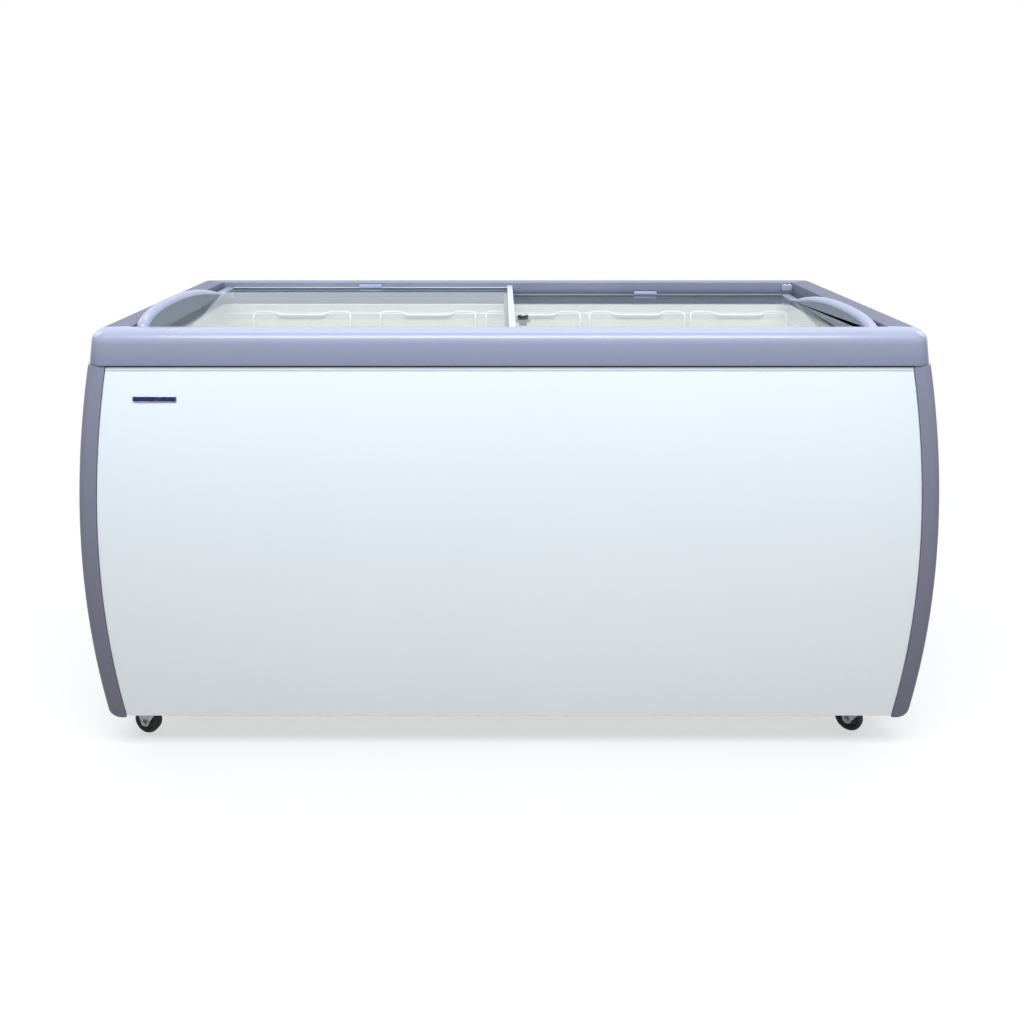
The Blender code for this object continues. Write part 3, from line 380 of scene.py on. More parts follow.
def round_edges(piece, width, segments=3, angle=35):
    bevel = piece.modifiers.new("edges", "BEVEL")
    bevel.width = width
    bevel.segments = segments
    bevel.limit_method = "ANGLE"
    bevel.angle_limit = math.radians(angle)
    bevel.harden_normals = True
    return piece


def refined(node, slot, width, segments=2, look=None, angle=35):
    """A copy of a node's mesh with its edges rounded, standing for the node."""
    bm = bmesh.new()
    bm.from_mesh(NODES[node].data)
    bmesh.ops.remove_doubles(bm, verts=bm.verts, dist=0.00002)
    bmesh.ops.dissolve_limit(bm, angle_limit=math.radians(1.0), verts=bm.verts, edges=bm.edges)
    mesh = mesh_from(bm, node + "_refined")
    body = NODES[node]["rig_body"]
    piece = show(node + "_detailed", mesh, body, slot, look, (node,))
    return round_edges(piece, width, segments, angle)


def block(low, high, radius=0.001, segments=3):
    """A box with rounded edges, as a bmesh."""
    bm = bmesh.new()
    bmesh.ops.create_cube(bm, size=1.0)
    size = [b - a for a, b in zip(low, high)]
    middle = [(a + b) / 2 for a, b in zip(low, high)]
    bm.transform(Matrix.Translation(middle) @ Matrix.Diagonal((*size, 1)))
    bmesh.ops.bevel(bm, geom=bm.edges[:], offset=radius, segments=segments, profile=0.5,
                    affect="EDGES", clamp_overlap=True)
    return bm


def lathe(profile, centre=(0, 0, 0), axis=(0, 0, 1), steps=48):
    """A profile of (radius, height) spun about an axis through centre, as a bmesh."""
    bm = bmesh.new()
    line = [bm.verts.new((radius, 0, height)) for radius, height in profile]
    edges = [bm.edges.new(pair) for pair in zip(line, line[1:])]
    bmesh.ops.spin(bm, geom=line + edges, axis=(0, 0, 1), cent=(0, 0, 0), steps=steps,
                   angle=math.tau, use_merge=True)
    bmesh.ops.remove_doubles(bm, verts=bm.verts, dist=0.000005)
    turn = Vector(axis).to_track_quat("Z", "Y").to_matrix().to_4x4()
    bm.transform(Matrix.Translation(centre) @ turn)
    return bm


def hexagon_head(size, centre, axis):
    """A bolt head on its washer, as a bmesh; axis points out of the surface."""
    bm = lathe(((0, 0.0010), (size * 1.15, 0.0010), (size * 1.2, 0.0008), (size * 1.2, 0), (0, 0)), steps=24)
    head = bmesh.new()
    bmesh.ops.create_cone(head, cap_ends=True, segments=6, radius1=size, radius2=size, depth=size * 0.8)
    bmesh.ops.bevel(head, geom=head.edges[:], offset=size * 0.08, segments=2, affect="EDGES")
    head.transform(Matrix.Translation((0, 0, 0.0010 + size * 0.4)))
    bm = joined([bm, head])
    turn = Vector(axis).to_track_quat("Z", "Y").to_matrix().to_4x4()
    bm.transform(Matrix.Translation(centre) @ turn)
    return bm


def pan_head(size, centre, axis):
    """A domed screw head with a cross recess, as a bmesh."""
    bm = lathe(((0, size * 0.32), (size * 0.18, size * 0.32), (size * 0.22, size * 0.52),
                (size * 0.55, size * 0.48), (size * 0.85, size * 0.30), (size, 0.0), (0, 0)), steps=20)
    turn = Vector(axis).to_track_quat("Z", "Y").to_matrix().to_4x4()
    bm.transform(Matrix.Translation(centre) @ turn)
    return bm


def joined(parts):
    whole = bmesh.new()
    for part in parts:
        mesh = bpy.data.meshes.new("part")
        part.to_mesh(mesh)
        part.free()
        whole.from_mesh(mesh)
        bpy.data.meshes.remove(mesh)
    return whole


def lofted(rings, closed=False):
    """Skins rings with equal counts of points, as a bmesh; open stacks get end caps."""
    bm = bmesh.new()
    rows = [[bm.verts.new(point) for point in ring] for ring in rings]
    pairs = list(zip(rows, rows[1:])) + ([(rows[-1], rows[0])] if closed else [])
    for low, high in pairs:
        for i in range(len(low)):
            j = (i + 1) % len(low)
            bm.faces.new((low[i], low[j], high[j], high[i]))
    if not closed:
        bm.faces.new(reversed(rows[0]))
        bm.faces.new(rows[-1])
    return bm


def rounded_ring(half_x, y_low, y_high, z, front_radius, rear_radius, steps=10):
    """A rounded rectangle at height z, counter-clockwise from the front right corner."""
    corners = ((half_x, y_low, front_radius, -90), (half_x, y_high, rear_radius, 0),
               (-half_x, y_high, rear_radius, 90), (-half_x, y_low, front_radius, 180))
    ring = []
    for x, y, radius, start in corners:
        cx = x - math.copysign(radius, x)
        cy = y - radius if y == y_high else y + radius
        for i in range(steps + 1):
            angle = math.radians(start + 90 * i / steps)
            ring.append((cx + radius * math.cos(angle), cy + radius * math.sin(angle), z))
    return ring


def eased(points, radius, steps=4):
    """A line of points with its inner corners rounded."""
    line = [Vector(points[0])]
    for before, at, after in zip(points, points[1:], points[2:]):
        at, back, ahead = Vector(at), Vector(before) - Vector(at), Vector(after) - Vector(at)
        cut = min(radius, back.length / 2, ahead.length / 2)
        start, end = at + back.normalized() * cut, at + ahead.normalized() * cut
        for i in range(steps + 1):
            t = i / steps
            line.append((1 - t) ** 2 * start + 2 * t * (1 - t) * at + t * t * end)
    return line + [Vector(points[-1])]


def wires(name, runs):
    """Round wires as one curve; each run is (points, radius, cyclic)."""
    curve = bpy.data.curves.new(name, "CURVE")
    curve.dimensions = "3D"
    thickest = max(radius for _, radius, _ in runs)
    curve.bevel_depth = thickest
    curve.bevel_resolution = 2
    curve.use_fill_caps = True
    for points, radius, cyclic in runs:
        spline = curve.splines.new("POLY")
        spline.points.add(len(points) - 1)
        for slot, point in zip(spline.points, points):
            slot.co = (*point, 1)
            slot.radius = radius / thickest
        spline.use_cyclic_u = cyclic
        spline.use_smooth = True
    return curve


# ---- cabinet ----
def make_top_frame():
    """The moulded top frame in one piece; painted shade makes it darker on its side rims, inner faces and
    glass tracks.
    """
    rings = []

    def level(z, half_x, front, rear, front_radius=0.005, rear_radius=0.005):
        rings.append(rounded_ring(half_x, RAIL_FRONT_Y + front, REAR_Y - rear, z, front_radius, rear_radius))

    skirt = 0.0012
    level(FRAME_Z, side_x(FRAME_Z) - skirt, skirt, skirt, 0.0288, 0.0128)
    level(FRAME_Z + skirt * 0.3, side_x(FRAME_Z) - skirt * 0.3, skirt * 0.3, skirt * 0.3, 0.0297, 0.0137)
    level(FRAME_Z + skirt, side_x(FRAME_Z), 0, 0, 0.030, 0.014)
    arc_steps = 12
    for i in range(arc_steps + 1):
        angle = math.radians(90 * i / arc_steps)
        draw = 1 - math.cos(angle)
        level(EDGE_Z + (RIM_Z - EDGE_Z) * math.sin(angle), side_x(EDGE_Z) - EDGE_SIDE * draw,
              EDGE_FRONT * draw, EDGE_REAR * draw, 0.030 - 0.012 * draw, 0.014 - 0.006 * draw)
    ease = 0.0014
    tracks = ((RIM_DEPTH, RIM_Z), (RIM_DEPTH, UPPER_TRACK_Z),
              (RIM_DEPTH + STEP_DEPTH, UPPER_TRACK_Z), (RIM_DEPTH + STEP_DEPTH, LOWER_TRACK_Z),
              (RIM_DEPTH + 2 * STEP_DEPTH, LOWER_TRACK_Z), (RIM_DEPTH + 2 * STEP_DEPTH, THROAT_Z))
    for index, (depth, z) in enumerate(tracks):
        half_x = THROAT_X - 0.0002 * depth / STEP_DEPTH
        if index % 2 == 0 and index < 5:
            for i in range(4):
                angle = math.radians(90 * i / 3)
                inward = ease * (1 - math.sin(angle))
                level(z - ease * (1 - math.cos(angle)), half_x + inward, depth - inward, depth - inward)
        else:
            level(z, half_x, depth, depth)
    level(THROAT_Z, side_x(THROAT_Z) - RAIL_WALL, RAIL_WALL, RAIL_WALL, 0.012, 0.008)
    level(FRAME_Z, side_x(FRAME_Z) - RAIL_WALL, RAIL_WALL, RAIL_WALL, 0.012, 0.008)
    piece = show("top_frame", mesh_from(lofted(rings, closed=True), "top_frame"), "cabinet", "grey_plastic",
                 replaces=("frame_front_rail", "frame_rear_rail", "frame_left_rail", "frame_right_rail"))
    # painted shade: faces of the one moulding get darker looks by where they sit: tracks, side rims, inner
    # faces and rear rim
    for look in ("inner_painted_shade", "track_painted_shade", "side_rim_painted_shade"):
        piece.data.materials.append(LOOK[look])
    inner_look, track_look, side_look = 1, 2, 3
    front_rim, rear_rim, near = RAIL_FRONT_Y + RIM_DEPTH, REAR_Y - RIM_DEPTH, 0.001
    for face in piece.data.polygons:
        x, y, z = face.center
        inside = abs(x) < THROAT_X + near and front_rim - near < y < rear_rim + near
        on_side_rim = z > EDGE_Z and front_rim < y < rear_rim and abs(x) > THROAT_X - 0.01
        if inside and z < UPPER_TRACK_Z + 0.0005:
            face.material_index = track_look
        elif on_side_rim:
            face.material_index = side_look
        elif inside or (z > EDGE_Z and y > rear_rim - near):
            face.material_index = inner_look


def make_track_stops():
    """End blocks in the tracks, where each lid comes to rest at the far side, with their screws."""
    rear_upper = REAR_Y - RIM_DEPTH
    upper = block((0.6450, rear_upper - STEP_DEPTH + 0.0006, UPPER_TRACK_Z + HAIR),
                  (THROAT_X - 0.0014, rear_upper - HAIR, RIM_Z - 0.0045), 0.0016)
    show("upper_track_stop", mesh_from(upper, "upper_track_stop"), "cabinet", "grey_plastic")
    rear_lower = rear_upper - STEP_DEPTH
    lower = block((-THROAT_X + 0.0014, rear_lower - STEP_DEPTH + 0.0006, LOWER_TRACK_Z + HAIR),
                  (-0.6400, rear_lower - HAIR, UPPER_TRACK_Z - 0.0010), 0.0012)
    show("lower_track_stop", mesh_from(lower, "lower_track_stop"), "cabinet", "grey_plastic")
    screws = [pan_head(0.0028, (x, rear_upper - STEP_DEPTH / 2, RIM_Z - 0.0046), (0, 0, 1))
              for x in (0.652, 0.663)]
    show("track_stop_screws", mesh_from(joined(screws), "screws"), "cabinet", "chrome")


def post_rings(end, sign, count=44):
    """L-shaped sections up a corner; near the floor the outer side curls in to a rounded foot."""
    radius = 0.018 if end == "front" else 0.012
    foot = 0.013
    low, high = SKIRT_Z, FRAME_Z - 2 * HAIR
    levels = [low + foot * (1 - math.cos(math.radians(a))) for a in range(0, 90, 10)]
    levels += spread(low + foot, high, count)
    rings = []
    for z in levels:
        rise = min(1.0, (z - low) / foot)
        curl = foot * 0.85 * (1 - math.sqrt(1 - (1 - rise) ** 2))
        outer = side_x(z) - curl
        inner = side_x(z) - POST_WIDTH
        y_face = front_y(z) if end == "front" else REAR_Y
        back = 1 if end == "front" else -1
        ring = []
        for wall, points in ((0.0, 11), (POST_WALL, 7)):
            arc = radius - wall
            run = [(inner, y_face + back * wall)]
            for i in range(points):
                angle = math.radians(90 * i / (points - 1))
                run.append((outer - radius + arc * math.sin(angle),
                            y_face + back * (radius - arc * math.cos(angle))))
            run.append((outer - wall, y_face + back * POST_WIDTH))
            ring += run if wall == 0 else run[::-1]
        rings.append([(sign * x, y, z) for x, y in ring])
    return rings


def make_posts():
    for end in ("front", "rear"):
        for side, sign in (("left", -1), ("right", 1)):
            name = f"{end}_{side}_post"
            piece = show(name + "_moulded", mesh_from(lofted(post_rings(end, sign)), name), "cabinet",
                         "grey_plastic", "post_plastic", (name,))
            round_edges(piece, 0.0006, 2, 50)


def bowed_sheet(name, edge_a, edge_b, body_node):
    """A bowed panel between two edges given as functions of z, with eased edges."""
    bm = bmesh.new()
    levels = spread(SKIRT_Z + 0.0015, FRAME_Z - 2 * HAIR, 49)
    columns = 9
    rows = []
    for z in levels:
        a, b = Vector(edge_a(z)), Vector(edge_b(z))
        rows.append([bm.verts.new(a.lerp(b, i / (columns - 1))) for i in range(columns)])
    for low, high in zip(rows, rows[1:]):
        for i in range(columns - 1):
            bm.faces.new((low[i], low[i + 1], high[i + 1], high[i]))
    mesh = mesh_from(bm, name, recalculate=False)
    panel = show(name + "_skin", mesh, "cabinet", "white_steel", replaces=(body_node,), sharp=None)
    mesh.shade_smooth()
    solid = panel.modifiers.new("sheet", "SOLIDIFY")
    solid.thickness = PANEL_WALL
    solid.offset = -1
    solid.use_even_offset = True
    return round_edges(panel, 0.0008, 2, 50)


def make_panels():
    edge, inset = POST_WIDTH + 2 * HAIR, PANEL_INSET
    bowed_sheet("front_panel", lambda z: (-side_x(z) + edge, front_y(z) + inset, z),
                lambda z: (side_x(z) - edge, front_y(z) + inset, z), "front_panel")
    bowed_sheet("left_panel", lambda z: (-side_x(z) + inset, REAR_Y - edge, z),
                lambda z: (-side_x(z) + inset, front_y(z) + edge, z), "left_panel")
    dress(NODES["right_panel"].data, "white_steel", 25)
    refined("rear_panel", "white_steel", 0.0004)

    # painted shade: the strip below stands for the shaded band under the rail's overhang, a little darker
    # than the panel
    shade_band_low, shade_band_high, proud = FRAME_Z - 0.0095, FRAME_Z - 0.0030, 0.0010
    half = side_x(shade_band_low) - edge - 0.0012
    section = [(0.0, shade_band_low), (proud * 0.8, shade_band_low + 0.0006), (proud, shade_band_low + 0.002),
               (proud, shade_band_high - 0.0008), (proud * 0.6, shade_band_high), (0.0, shade_band_high)]
    rings = [[(x, front_y(z) + inset - HAIR - out, z) for out, z in section] for x in (-half, half)]
    show("front_painted_shade_band", mesh_from(lofted(rings), "trim"), "cabinet", "white_plastic", "shade_band_painted")
    # painted shadow: a black rubber bead laid in the gap under the rail, where there is only shadow
    half += 0.0006
    bead = [(0.0, shade_band_high + 0.0002), (0.0006, shade_band_high + 0.0004), (0.0006, FRAME_Z - 0.0005),
            (0.0, FRAME_Z - 0.0003)]
    rings = [[(x, front_y(z) + inset - HAIR - out, z) for out, z in bead] for x in (-half, half)]
    show("front_painted_shadow_line", mesh_from(lofted(rings), "bead"), "cabinet", "seal_rubber")


def make_fixings():
    """Screws that hold the posts and the rear panel, in rows by height."""
    heads = []
    for sign in (-1, 1):
        for z in (0.11, 0.32, 0.53, 0.70):
            heads.append(pan_head(0.0042, (sign * (side_x(z) - 0.022), REAR_Y - 0.0002, z), (0, 1, 0)))
    for x in spread(-0.60, 0.60, 5):
        for z in (0.095, 0.715):
            heads.append(pan_head(0.0038, (x, REAR_Y - PANEL_INSET, z), (0, 1, 0)))
    show("rear_screws", mesh_from(joined(heads), "rear_screws"), "cabinet", "galvanised", "chrome")


def make_tank():
    """The liner in one skin: rounded corners, floor step, basket ledge and top flange."""
    x_out = TANK_HIGH.x - TANK_FLANGE_X
    y_low, y_high = TANK_LOW.y + TANK_FLANGE_Y + LEDGE, TANK_HIGH.y - TANK_FLANGE_Y - LEDGE
    outline = ((-x_out, LEDGE_Z), (-x_out, TANK_FLOOR_Z), (STEP_X, TANK_FLOOR_Z),
               (STEP_X, STEP_FLOOR_Z), (x_out, STEP_FLOOR_Z), (x_out, LEDGE_Z))
    bm = bmesh.new()
    front = [bm.verts.new((x, y_low, z)) for x, z in outline]
    back = [bm.verts.new((x, y_high, z)) for x, z in outline]
    bm.faces.new(front)
    bm.faces.new(back[::-1])
    for i in range(len(outline) - 1):
        bm.faces.new((front[i], front[i + 1], back[i + 1], back[i]))
    bmesh.ops.recalc_face_normals(bm, faces=bm.faces)

    def on_step_lip(edge):
        near = STEP_ROUNDING + 0.001
        return edge.calc_length() > 0.1 and all(
            math.hypot(v.co.x - STEP_X, v.co.z - STEP_FLOOR_Z) < near for v in edge.verts)

    # the step's lip stays tight, so that the foam's square corner behind it is covered
    lip = [e for e in bm.edges if on_step_lip(e)]
    bmesh.ops.bevel(bm, geom=lip, offset=STEP_ROUNDING, segments=4, profile=0.5, affect="EDGES")
    inner = [e for e in bm.edges if not e.is_boundary and not on_step_lip(e)]
    bmesh.ops.bevel(bm, geom=inner, offset=TANK_ROUNDING, segments=5, profile=0.5, affect="EDGES")
    steps = (
        lambda c: (c.x, c.y + math.copysign(LEDGE, c.y - MID_Y), c.z),
        lambda c: (c.x, c.y, TANK_HIGH.z - TANK_WALL),
        lambda c: (c.x + math.copysign(TANK_FLANGE_X - TANK_WALL, c.x),
                   c.y + math.copysign(TANK_FLANGE_Y - TANK_WALL, c.y - MID_Y), c.z))
    for step in steps:
        rim = [e for e in bm.edges if e.is_boundary]
        made = bmesh.ops.extrude_edge_only(bm, edges=rim)["geom"]
        for vert in (g for g in made if isinstance(g, bmesh.types.BMVert)):
            vert.co = step(vert.co)
    bmesh.ops.recalc_face_normals(bm, faces=bm.faces)
    mesh = mesh_from(bm, "tank_liner")
    tank = show("tank_liner", mesh, "cabinet", "tank_coated", replaces=("inner_tank",))
    round_edges(tank, 0.0025, 3, 50)
    solid = tank.modifiers.new("sheet", "SOLIDIFY")
    solid.thickness = TANK_WALL
    solid.offset = 1
    ring = lathe(((0.0095, 0.0), (0.0095, 0.0012), (0.016, 0.0020), (0.0185, 0.0006), (0.0185, 0.0)),
                 (DRAIN_X, MID_Y, TANK_FLOOR_Z), steps=32)
    show("drain_ring", mesh_from(ring, "drain_ring"), "cabinet", "white_plastic")


def make_badge():
    """The blank badge: a navy plate with a bright rim, set along the panel's slope."""
    low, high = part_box("blank_badge")
    z = (low.z + high.z) / 2
    slope = math.atan((z - BOW_Z) / BOW_RADIUS)
    place = (Matrix.Translation(((low.x + high.x) / 2, front_y(z) + PANEL_INSET - HAIR, z))
             @ Matrix.Rotation(-slope, 4, "X"))
    half_x, half_z = (high.x - low.x) / 2, (high.z - low.z) / 2
    plate = block((-half_x, -0.0014, -half_z), (half_x, 0, half_z), 0.0006)
    plate.transform(place)
    show("badge_plate", mesh_from(plate, "badge_plate"), "cabinet", "badge_navy", replaces=("blank_badge",))
    corners = [(x, -0.0014, zz) for x, zz in
               ((-half_x, -half_z), (half_x, -half_z), (half_x, half_z), (-half_x, half_z))]
    inner = [Vector(c) * 0.97 for c in corners]
    path = [place @ p for p in eased([(inner[3] + inner[0]) / 2, *inner, (inner[3] + inner[0]) / 2], 0.0015)]
    show("badge_rim", wires("badge_rim", [(path[:-1], 0.00035, True)]), "cabinet", "chrome")


# ---- lids ----
def split_glass(node):
    """The pane with fine ground edges; its thin sides are a deeper green."""
    piece = refined(node, "glass", 0.0007, 2)
    mesh = piece.data
    mesh.materials.append(LOOK["glass_edge"])
    for face in mesh.polygons:
        face.material_index = 0 if abs(face.normal.z) > 0.9 else 1
    piece.modifiers["edges"].material = -1


def arch(depth, peak_height):
    """Height of a handle above its glass at a distance back from the frame's front face."""
    start = RIM_DEPTH + 0.001
    if depth <= ARCH_PEAK:
        t = min((ARCH_PEAK - depth) / (ARCH_PEAK - start), 1.0)
        return peak_height * (1 - t ** 2.6) ** (1 / 2.6)
    t = (depth - ARCH_PEAK) / (ARCH_END - ARCH_PEAK)
    return peak_height * max(0.0, 1 - t ** 2.15)


def make_handle(side):
    """The lid's end piece: an arched web whose upper edge is a full bullnose; painted shade makes the web's
    flat sides darker.
    """
    low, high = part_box(f"{side}_handle")
    glass_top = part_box(f"{side}_glass")[1].z
    peak = high.z - glass_top
    shoulder = glass_top + 0.0022
    first = low.y - RAIL_FRONT_Y
    depths = [first + (ARCH_PEAK - first) * (1 - math.cos(math.radians(a))) for a in range(4, 91, 4)]
    depths += spread(ARCH_PEAK, ARCH_END, 22)[1:]
    path = [(low.y, low.z), (low.y, (low.z + shoulder) / 2), (low.y, shoulder)]
    for depth in depths:
        path.append((RAIL_FRONT_Y + depth, max(shoulder, glass_top + arch(depth, peak))))
    path += [(high.y - 0.003, shoulder), (high.y - 0.0009, shoulder - 0.0009), (high.y, shoulder - 0.003),
             (high.y, low.z)]
    half, middle = (high.x - low.x) / 2, (high.x + low.x) / 2
    bm = bmesh.new()
    arcs = 12
    rows = []
    for i, (y, z) in enumerate(path):
        before, after = path[max(i - 1, 0)], path[min(i + 1, len(path) - 1)]
        run_y, run_z = after[0] - before[0], after[1] - before[1]
        length = math.hypot(run_y, run_z)
        depth = min(half, 0.45 * (z - low.z))
        row = []
        for k in range(arcs + 1):
            angle = math.pi * k / arcs
            inward = depth * (1 - math.sin(angle))
            row.append(bm.verts.new((
                middle + half * math.cos(angle), y + run_z / length * inward,
                max(low.z, z - run_y / length * inward))))
        rows.append(row)
    for a, b in zip(rows, rows[1:]):
        for k in range(arcs):
            bm.faces.new((a[k], a[k + 1], b[k + 1], b[k]))
    flats = [bm.faces.new([row[0] for row in rows]), bm.faces.new([row[-1] for row in rows][::-1]),
             bm.faces.new(rows[0] + rows[-1][::-1])]
    for flat in flats:
        for edge in flat.edges:
            edge.smooth = False
    for face in bm.faces:
        face.smooth = face not in flats
    mesh = mesh_from(bm, f"{side}_handle")
    piece = show(f"{side}_handle_moulded", mesh, f"{side}_lid", "grey_plastic", replaces=(f"{side}_handle",),
                 sharp=None)
    piece.data.materials.append(LOOK["handle_web_painted_shade"])
    # painted shade: the flat side faces take the darker look
    for face in piece.data.polygons:
        face.material_index = 1 if len(face.vertices) > 4 and abs(face.normal.x) > 0.9 else 0


def two_tone_frame(side):
    """The lid's frame: a pale stile at the middle on otherwise grey runners; painted light makes the rear
    lip's upward faces pale.
    """
    piece = refined(f"{side}_lid_frame", "white_plastic", 0.0005, 2)
    mesh = piece.data
    mesh.materials.append(LOOK["runner_plastic"])
    stile = 0.0125
    for face in mesh.polygons:
        xs = [abs(mesh.vertices[i].co.x) for i in face.vertices]
        # painted light: the rear lip's upward faces take the pale look, as lit tops
        rear_lip_painted_light = face.normal.z > 0.7 and face.center.y > MID_Y
        face.material_index = 0 if max(xs) < stile or rear_lip_painted_light else 1
    piece.modifiers["edges"].material = -1


def make_lids():
    for side in ("left", "right"):
        split_glass(f"{side}_glass")
        make_handle(side)
        two_tone_frame(side)
        refined(f"{side}_lid_clip", "white_plastic", 0.0014, 3, "clip_plastic")
    refined("left_lid_seal", "seal_rubber", 0.0006)
    refined("lock_barrel", "black_plastic", 0.0005, 2)
    refined("lock_plunger", "chrome", 0.0004, 2)
    refined("lock_plug", "chrome", 0.0002, 1)
    low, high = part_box("lock_barrel")
    centre = (low + high) / 2
    nut = lathe(((0.0105, 0.0), (0.0150, 0.0), (0.0150, -0.004), (0.0105, -0.004), (0.0105, 0.0)),
                (centre.x, centre.y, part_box("right_glass")[0].z - 0.0001), steps=6)
    show("lock_nut", mesh_from(nut, "lock_nut"), "right_lid", "black_plastic")


# ---- baskets ----
def make_basket(number):
    """A dipped-wire basket: mesh walls and floor under a rim, hung on raised hoops front and rear."""
    low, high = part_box(f"basket_{number}")
    thick, thin = 0.00225, 0.0015
    top, floor, rim = high.z - thick, low.z + thick, 0.668
    draft, hook, dip = 0.010, 0.0135, 0.0055

    def lean(z):
        return draft * (top - z) / (top - floor)

    def x_at(z):
        return low.x + thick + lean(z), high.x - thick - lean(z)

    def y_at(z):
        return low.y + thick + hook + lean(z), high.y - thick - hook - lean(z)

    runs = []
    for z, radius in ((rim, thick), (0.617, thin), (0.568, thin), (floor + thin, thin)):
        (x0, x1), (y0, y1) = x_at(z), y_at(z)
        middle = ((x0 + x1) / 2, y0, z)
        loop = eased([middle, (x1, y0, z), (x1, y1, z), (x0, y1, z), (x0, y0, z), middle], 0.016)
        runs.append((loop[:-1], radius, True))
    (x0, x1), (y0, y1) = x_at(rim), y_at(rim)
    (fx0, fx1), (fy0, fy1) = x_at(floor), y_at(floor)
    for share in spread(0.09, 0.91, 11):
        y, fy = y0 + (y1 - y0) * share, fy0 + (fy1 - fy0) * share
        runs.append((eased([(x0 + thin, y, rim), (fx0 + thin, fy, floor), (fx1 - thin, fy, floor),
                            (x1 - thin, y, rim)], 0.010), thin, False))
    for share in spread(0.16, 0.84, 5):
        x, fx = x0 + (x1 - x0) * share, fx0 + (fx1 - fx0) * share
        runs.append((eased([(x, y0 + thin, rim), (fx, fy0 + thin, floor + thin),
                            (fx, fy1 - thin, floor + thin), (x, y1 - thin, rim)], 0.010), thin, False))
    tx0, tx1 = x_at(top)
    width = tx1 - tx0
    for end, face in ((0, low.y + thick), (1, high.y - thick)):
        wall_top, wall_low = y_at(top)[end], y_at(floor)[end]
        half = [(fx0, wall_low, floor + 0.004), (tx0, wall_top, top - 0.011), (tx0 + 0.003, face, top),
                (tx0 + 0.22 * width, face, top), (tx0 + 0.27 * width, wall_top, top - dip)]
        mirrored = [(tx0 + tx1 - x, y, z) for x, y, z in half[::-1]]
        runs.append((eased(half + mirrored, 0.009), thick, False))
    show(f"basket_{number}_wires", wires(f"basket_{number}_wires", runs), f"basket_{number}", "wire_white",
         replaces=(f"basket_{number}",))


# ---- casters ----
def make_caster(corner):
    low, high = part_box(f"{corner}_caster_plate")
    centre = (low + high) / 2
    own = (Matrix.Translation((centre.x, centre.y, 0))
           @ Matrix.Rotation(math.radians(SWIVEL_YAW[corner]), 4, "Z"))
    refined(f"{corner}_caster_plate", "galvanised", 0.0006)
    refined(f"{corner}_fork", "galvanised", 0.0004, 2)

    race = lathe(((0.0130, 0.0), (0.0215, 0.0), (0.0220, -0.0012), (0.0216, -0.0036), (0.0206, -0.0042),
                  (0.0206, -0.0010), (0.0130, -0.0010)), (centre.x, centre.y, low.z - HAIR), steps=40)
    show(f"{corner}_race", mesh_from(race, "race"), f"{corner}_fork", "galvanised")
    heads = [hexagon_head(0.0035, (centre.x + dx, centre.y + dy, low.z), (0, 0, -1))
             for dx in (-0.026, 0.026) for dy in (-0.020, 0.020)]
    show(f"{corner}_plate_bolts", mesh_from(joined(heads), "plate_bolts"), "cabinet", "galvanised")

    hub, axis = own @ Vector((TRAIL, 0, WHEEL_RADIUS)), own.to_3x3() @ Vector((0, 1, 0))
    nuts = [hexagon_head(0.0048, hub + axis * 0.01305 * way, axis * way) for way in (-1, 1)]
    show(f"{corner}_axle_nuts", mesh_from(joined(nuts), "axle_nuts"), f"{corner}_fork", "galvanised")

    half = 0.009
    rim = WHEEL_RADIUS
    tyre = ((0.0175, half - 0.0016), (0.0195, half - 0.0004), (0.0225, half - 0.0002),
            (0.0243, half - 0.0012), (0.0252, half - 0.0032), (rim, half - 0.0055), (rim, 0.0007),
            (rim - 0.0004, 0.0), (rim, -0.0007), (rim, 0.0055 - half), (0.0252, 0.0032 - half),
            (0.0243, 0.0012 - half), (0.0225, 0.0002 - half), (0.0195, 0.0004 - half),
            (0.0175, 0.0016 - half), (0.0175, half - 0.0016))
    wheel = show(f"{corner}_tyre", mesh_from(lathe(tyre, hub, axis, 56), "tyre"), f"{corner}_wheel",
                 "wheel_black", replaces=(f"{corner}_wheel",))
    wheel.data.shade_smooth()
    core = ((0.0038, half), (0.0080, half), (0.0095, half - 0.0010), (0.0100, half - 0.0036),
            (0.0160, half - 0.0036), (0.01735, half - 0.0014), (0.01735, 0.0014 - half),
            (0.0160, 0.0036 - half), (0.0100, 0.0036 - half), (0.0095, 0.0010 - half),
            (0.0080, -half), (0.0038, -half), (0.0038, half))
    show(f"{corner}_wheel_core", mesh_from(lathe(core, hub, axis, 48), "core"), f"{corner}_wheel",
         "wheel_black", "black_plastic")
    if corner.startswith("front"):
        refined(f"{corner}_brake_pedal", "black_plastic", 0.0010, 2)


# ---- machine bay ----
def plain_nodes():
    """CAD nodes whose shape is right as it is: each gets its procedural finish."""
    finishes = {
        "insulation_foam": "foam", "base_pan": "galvanised", "drain_tube": "white_plastic",
        "condenser_coil": "copper", "filter_drier": "copper", "right_panel": "white_steel"}
    for node, slot in finishes.items():
        data = NODES[node].data
        dress(data, slot, 30)


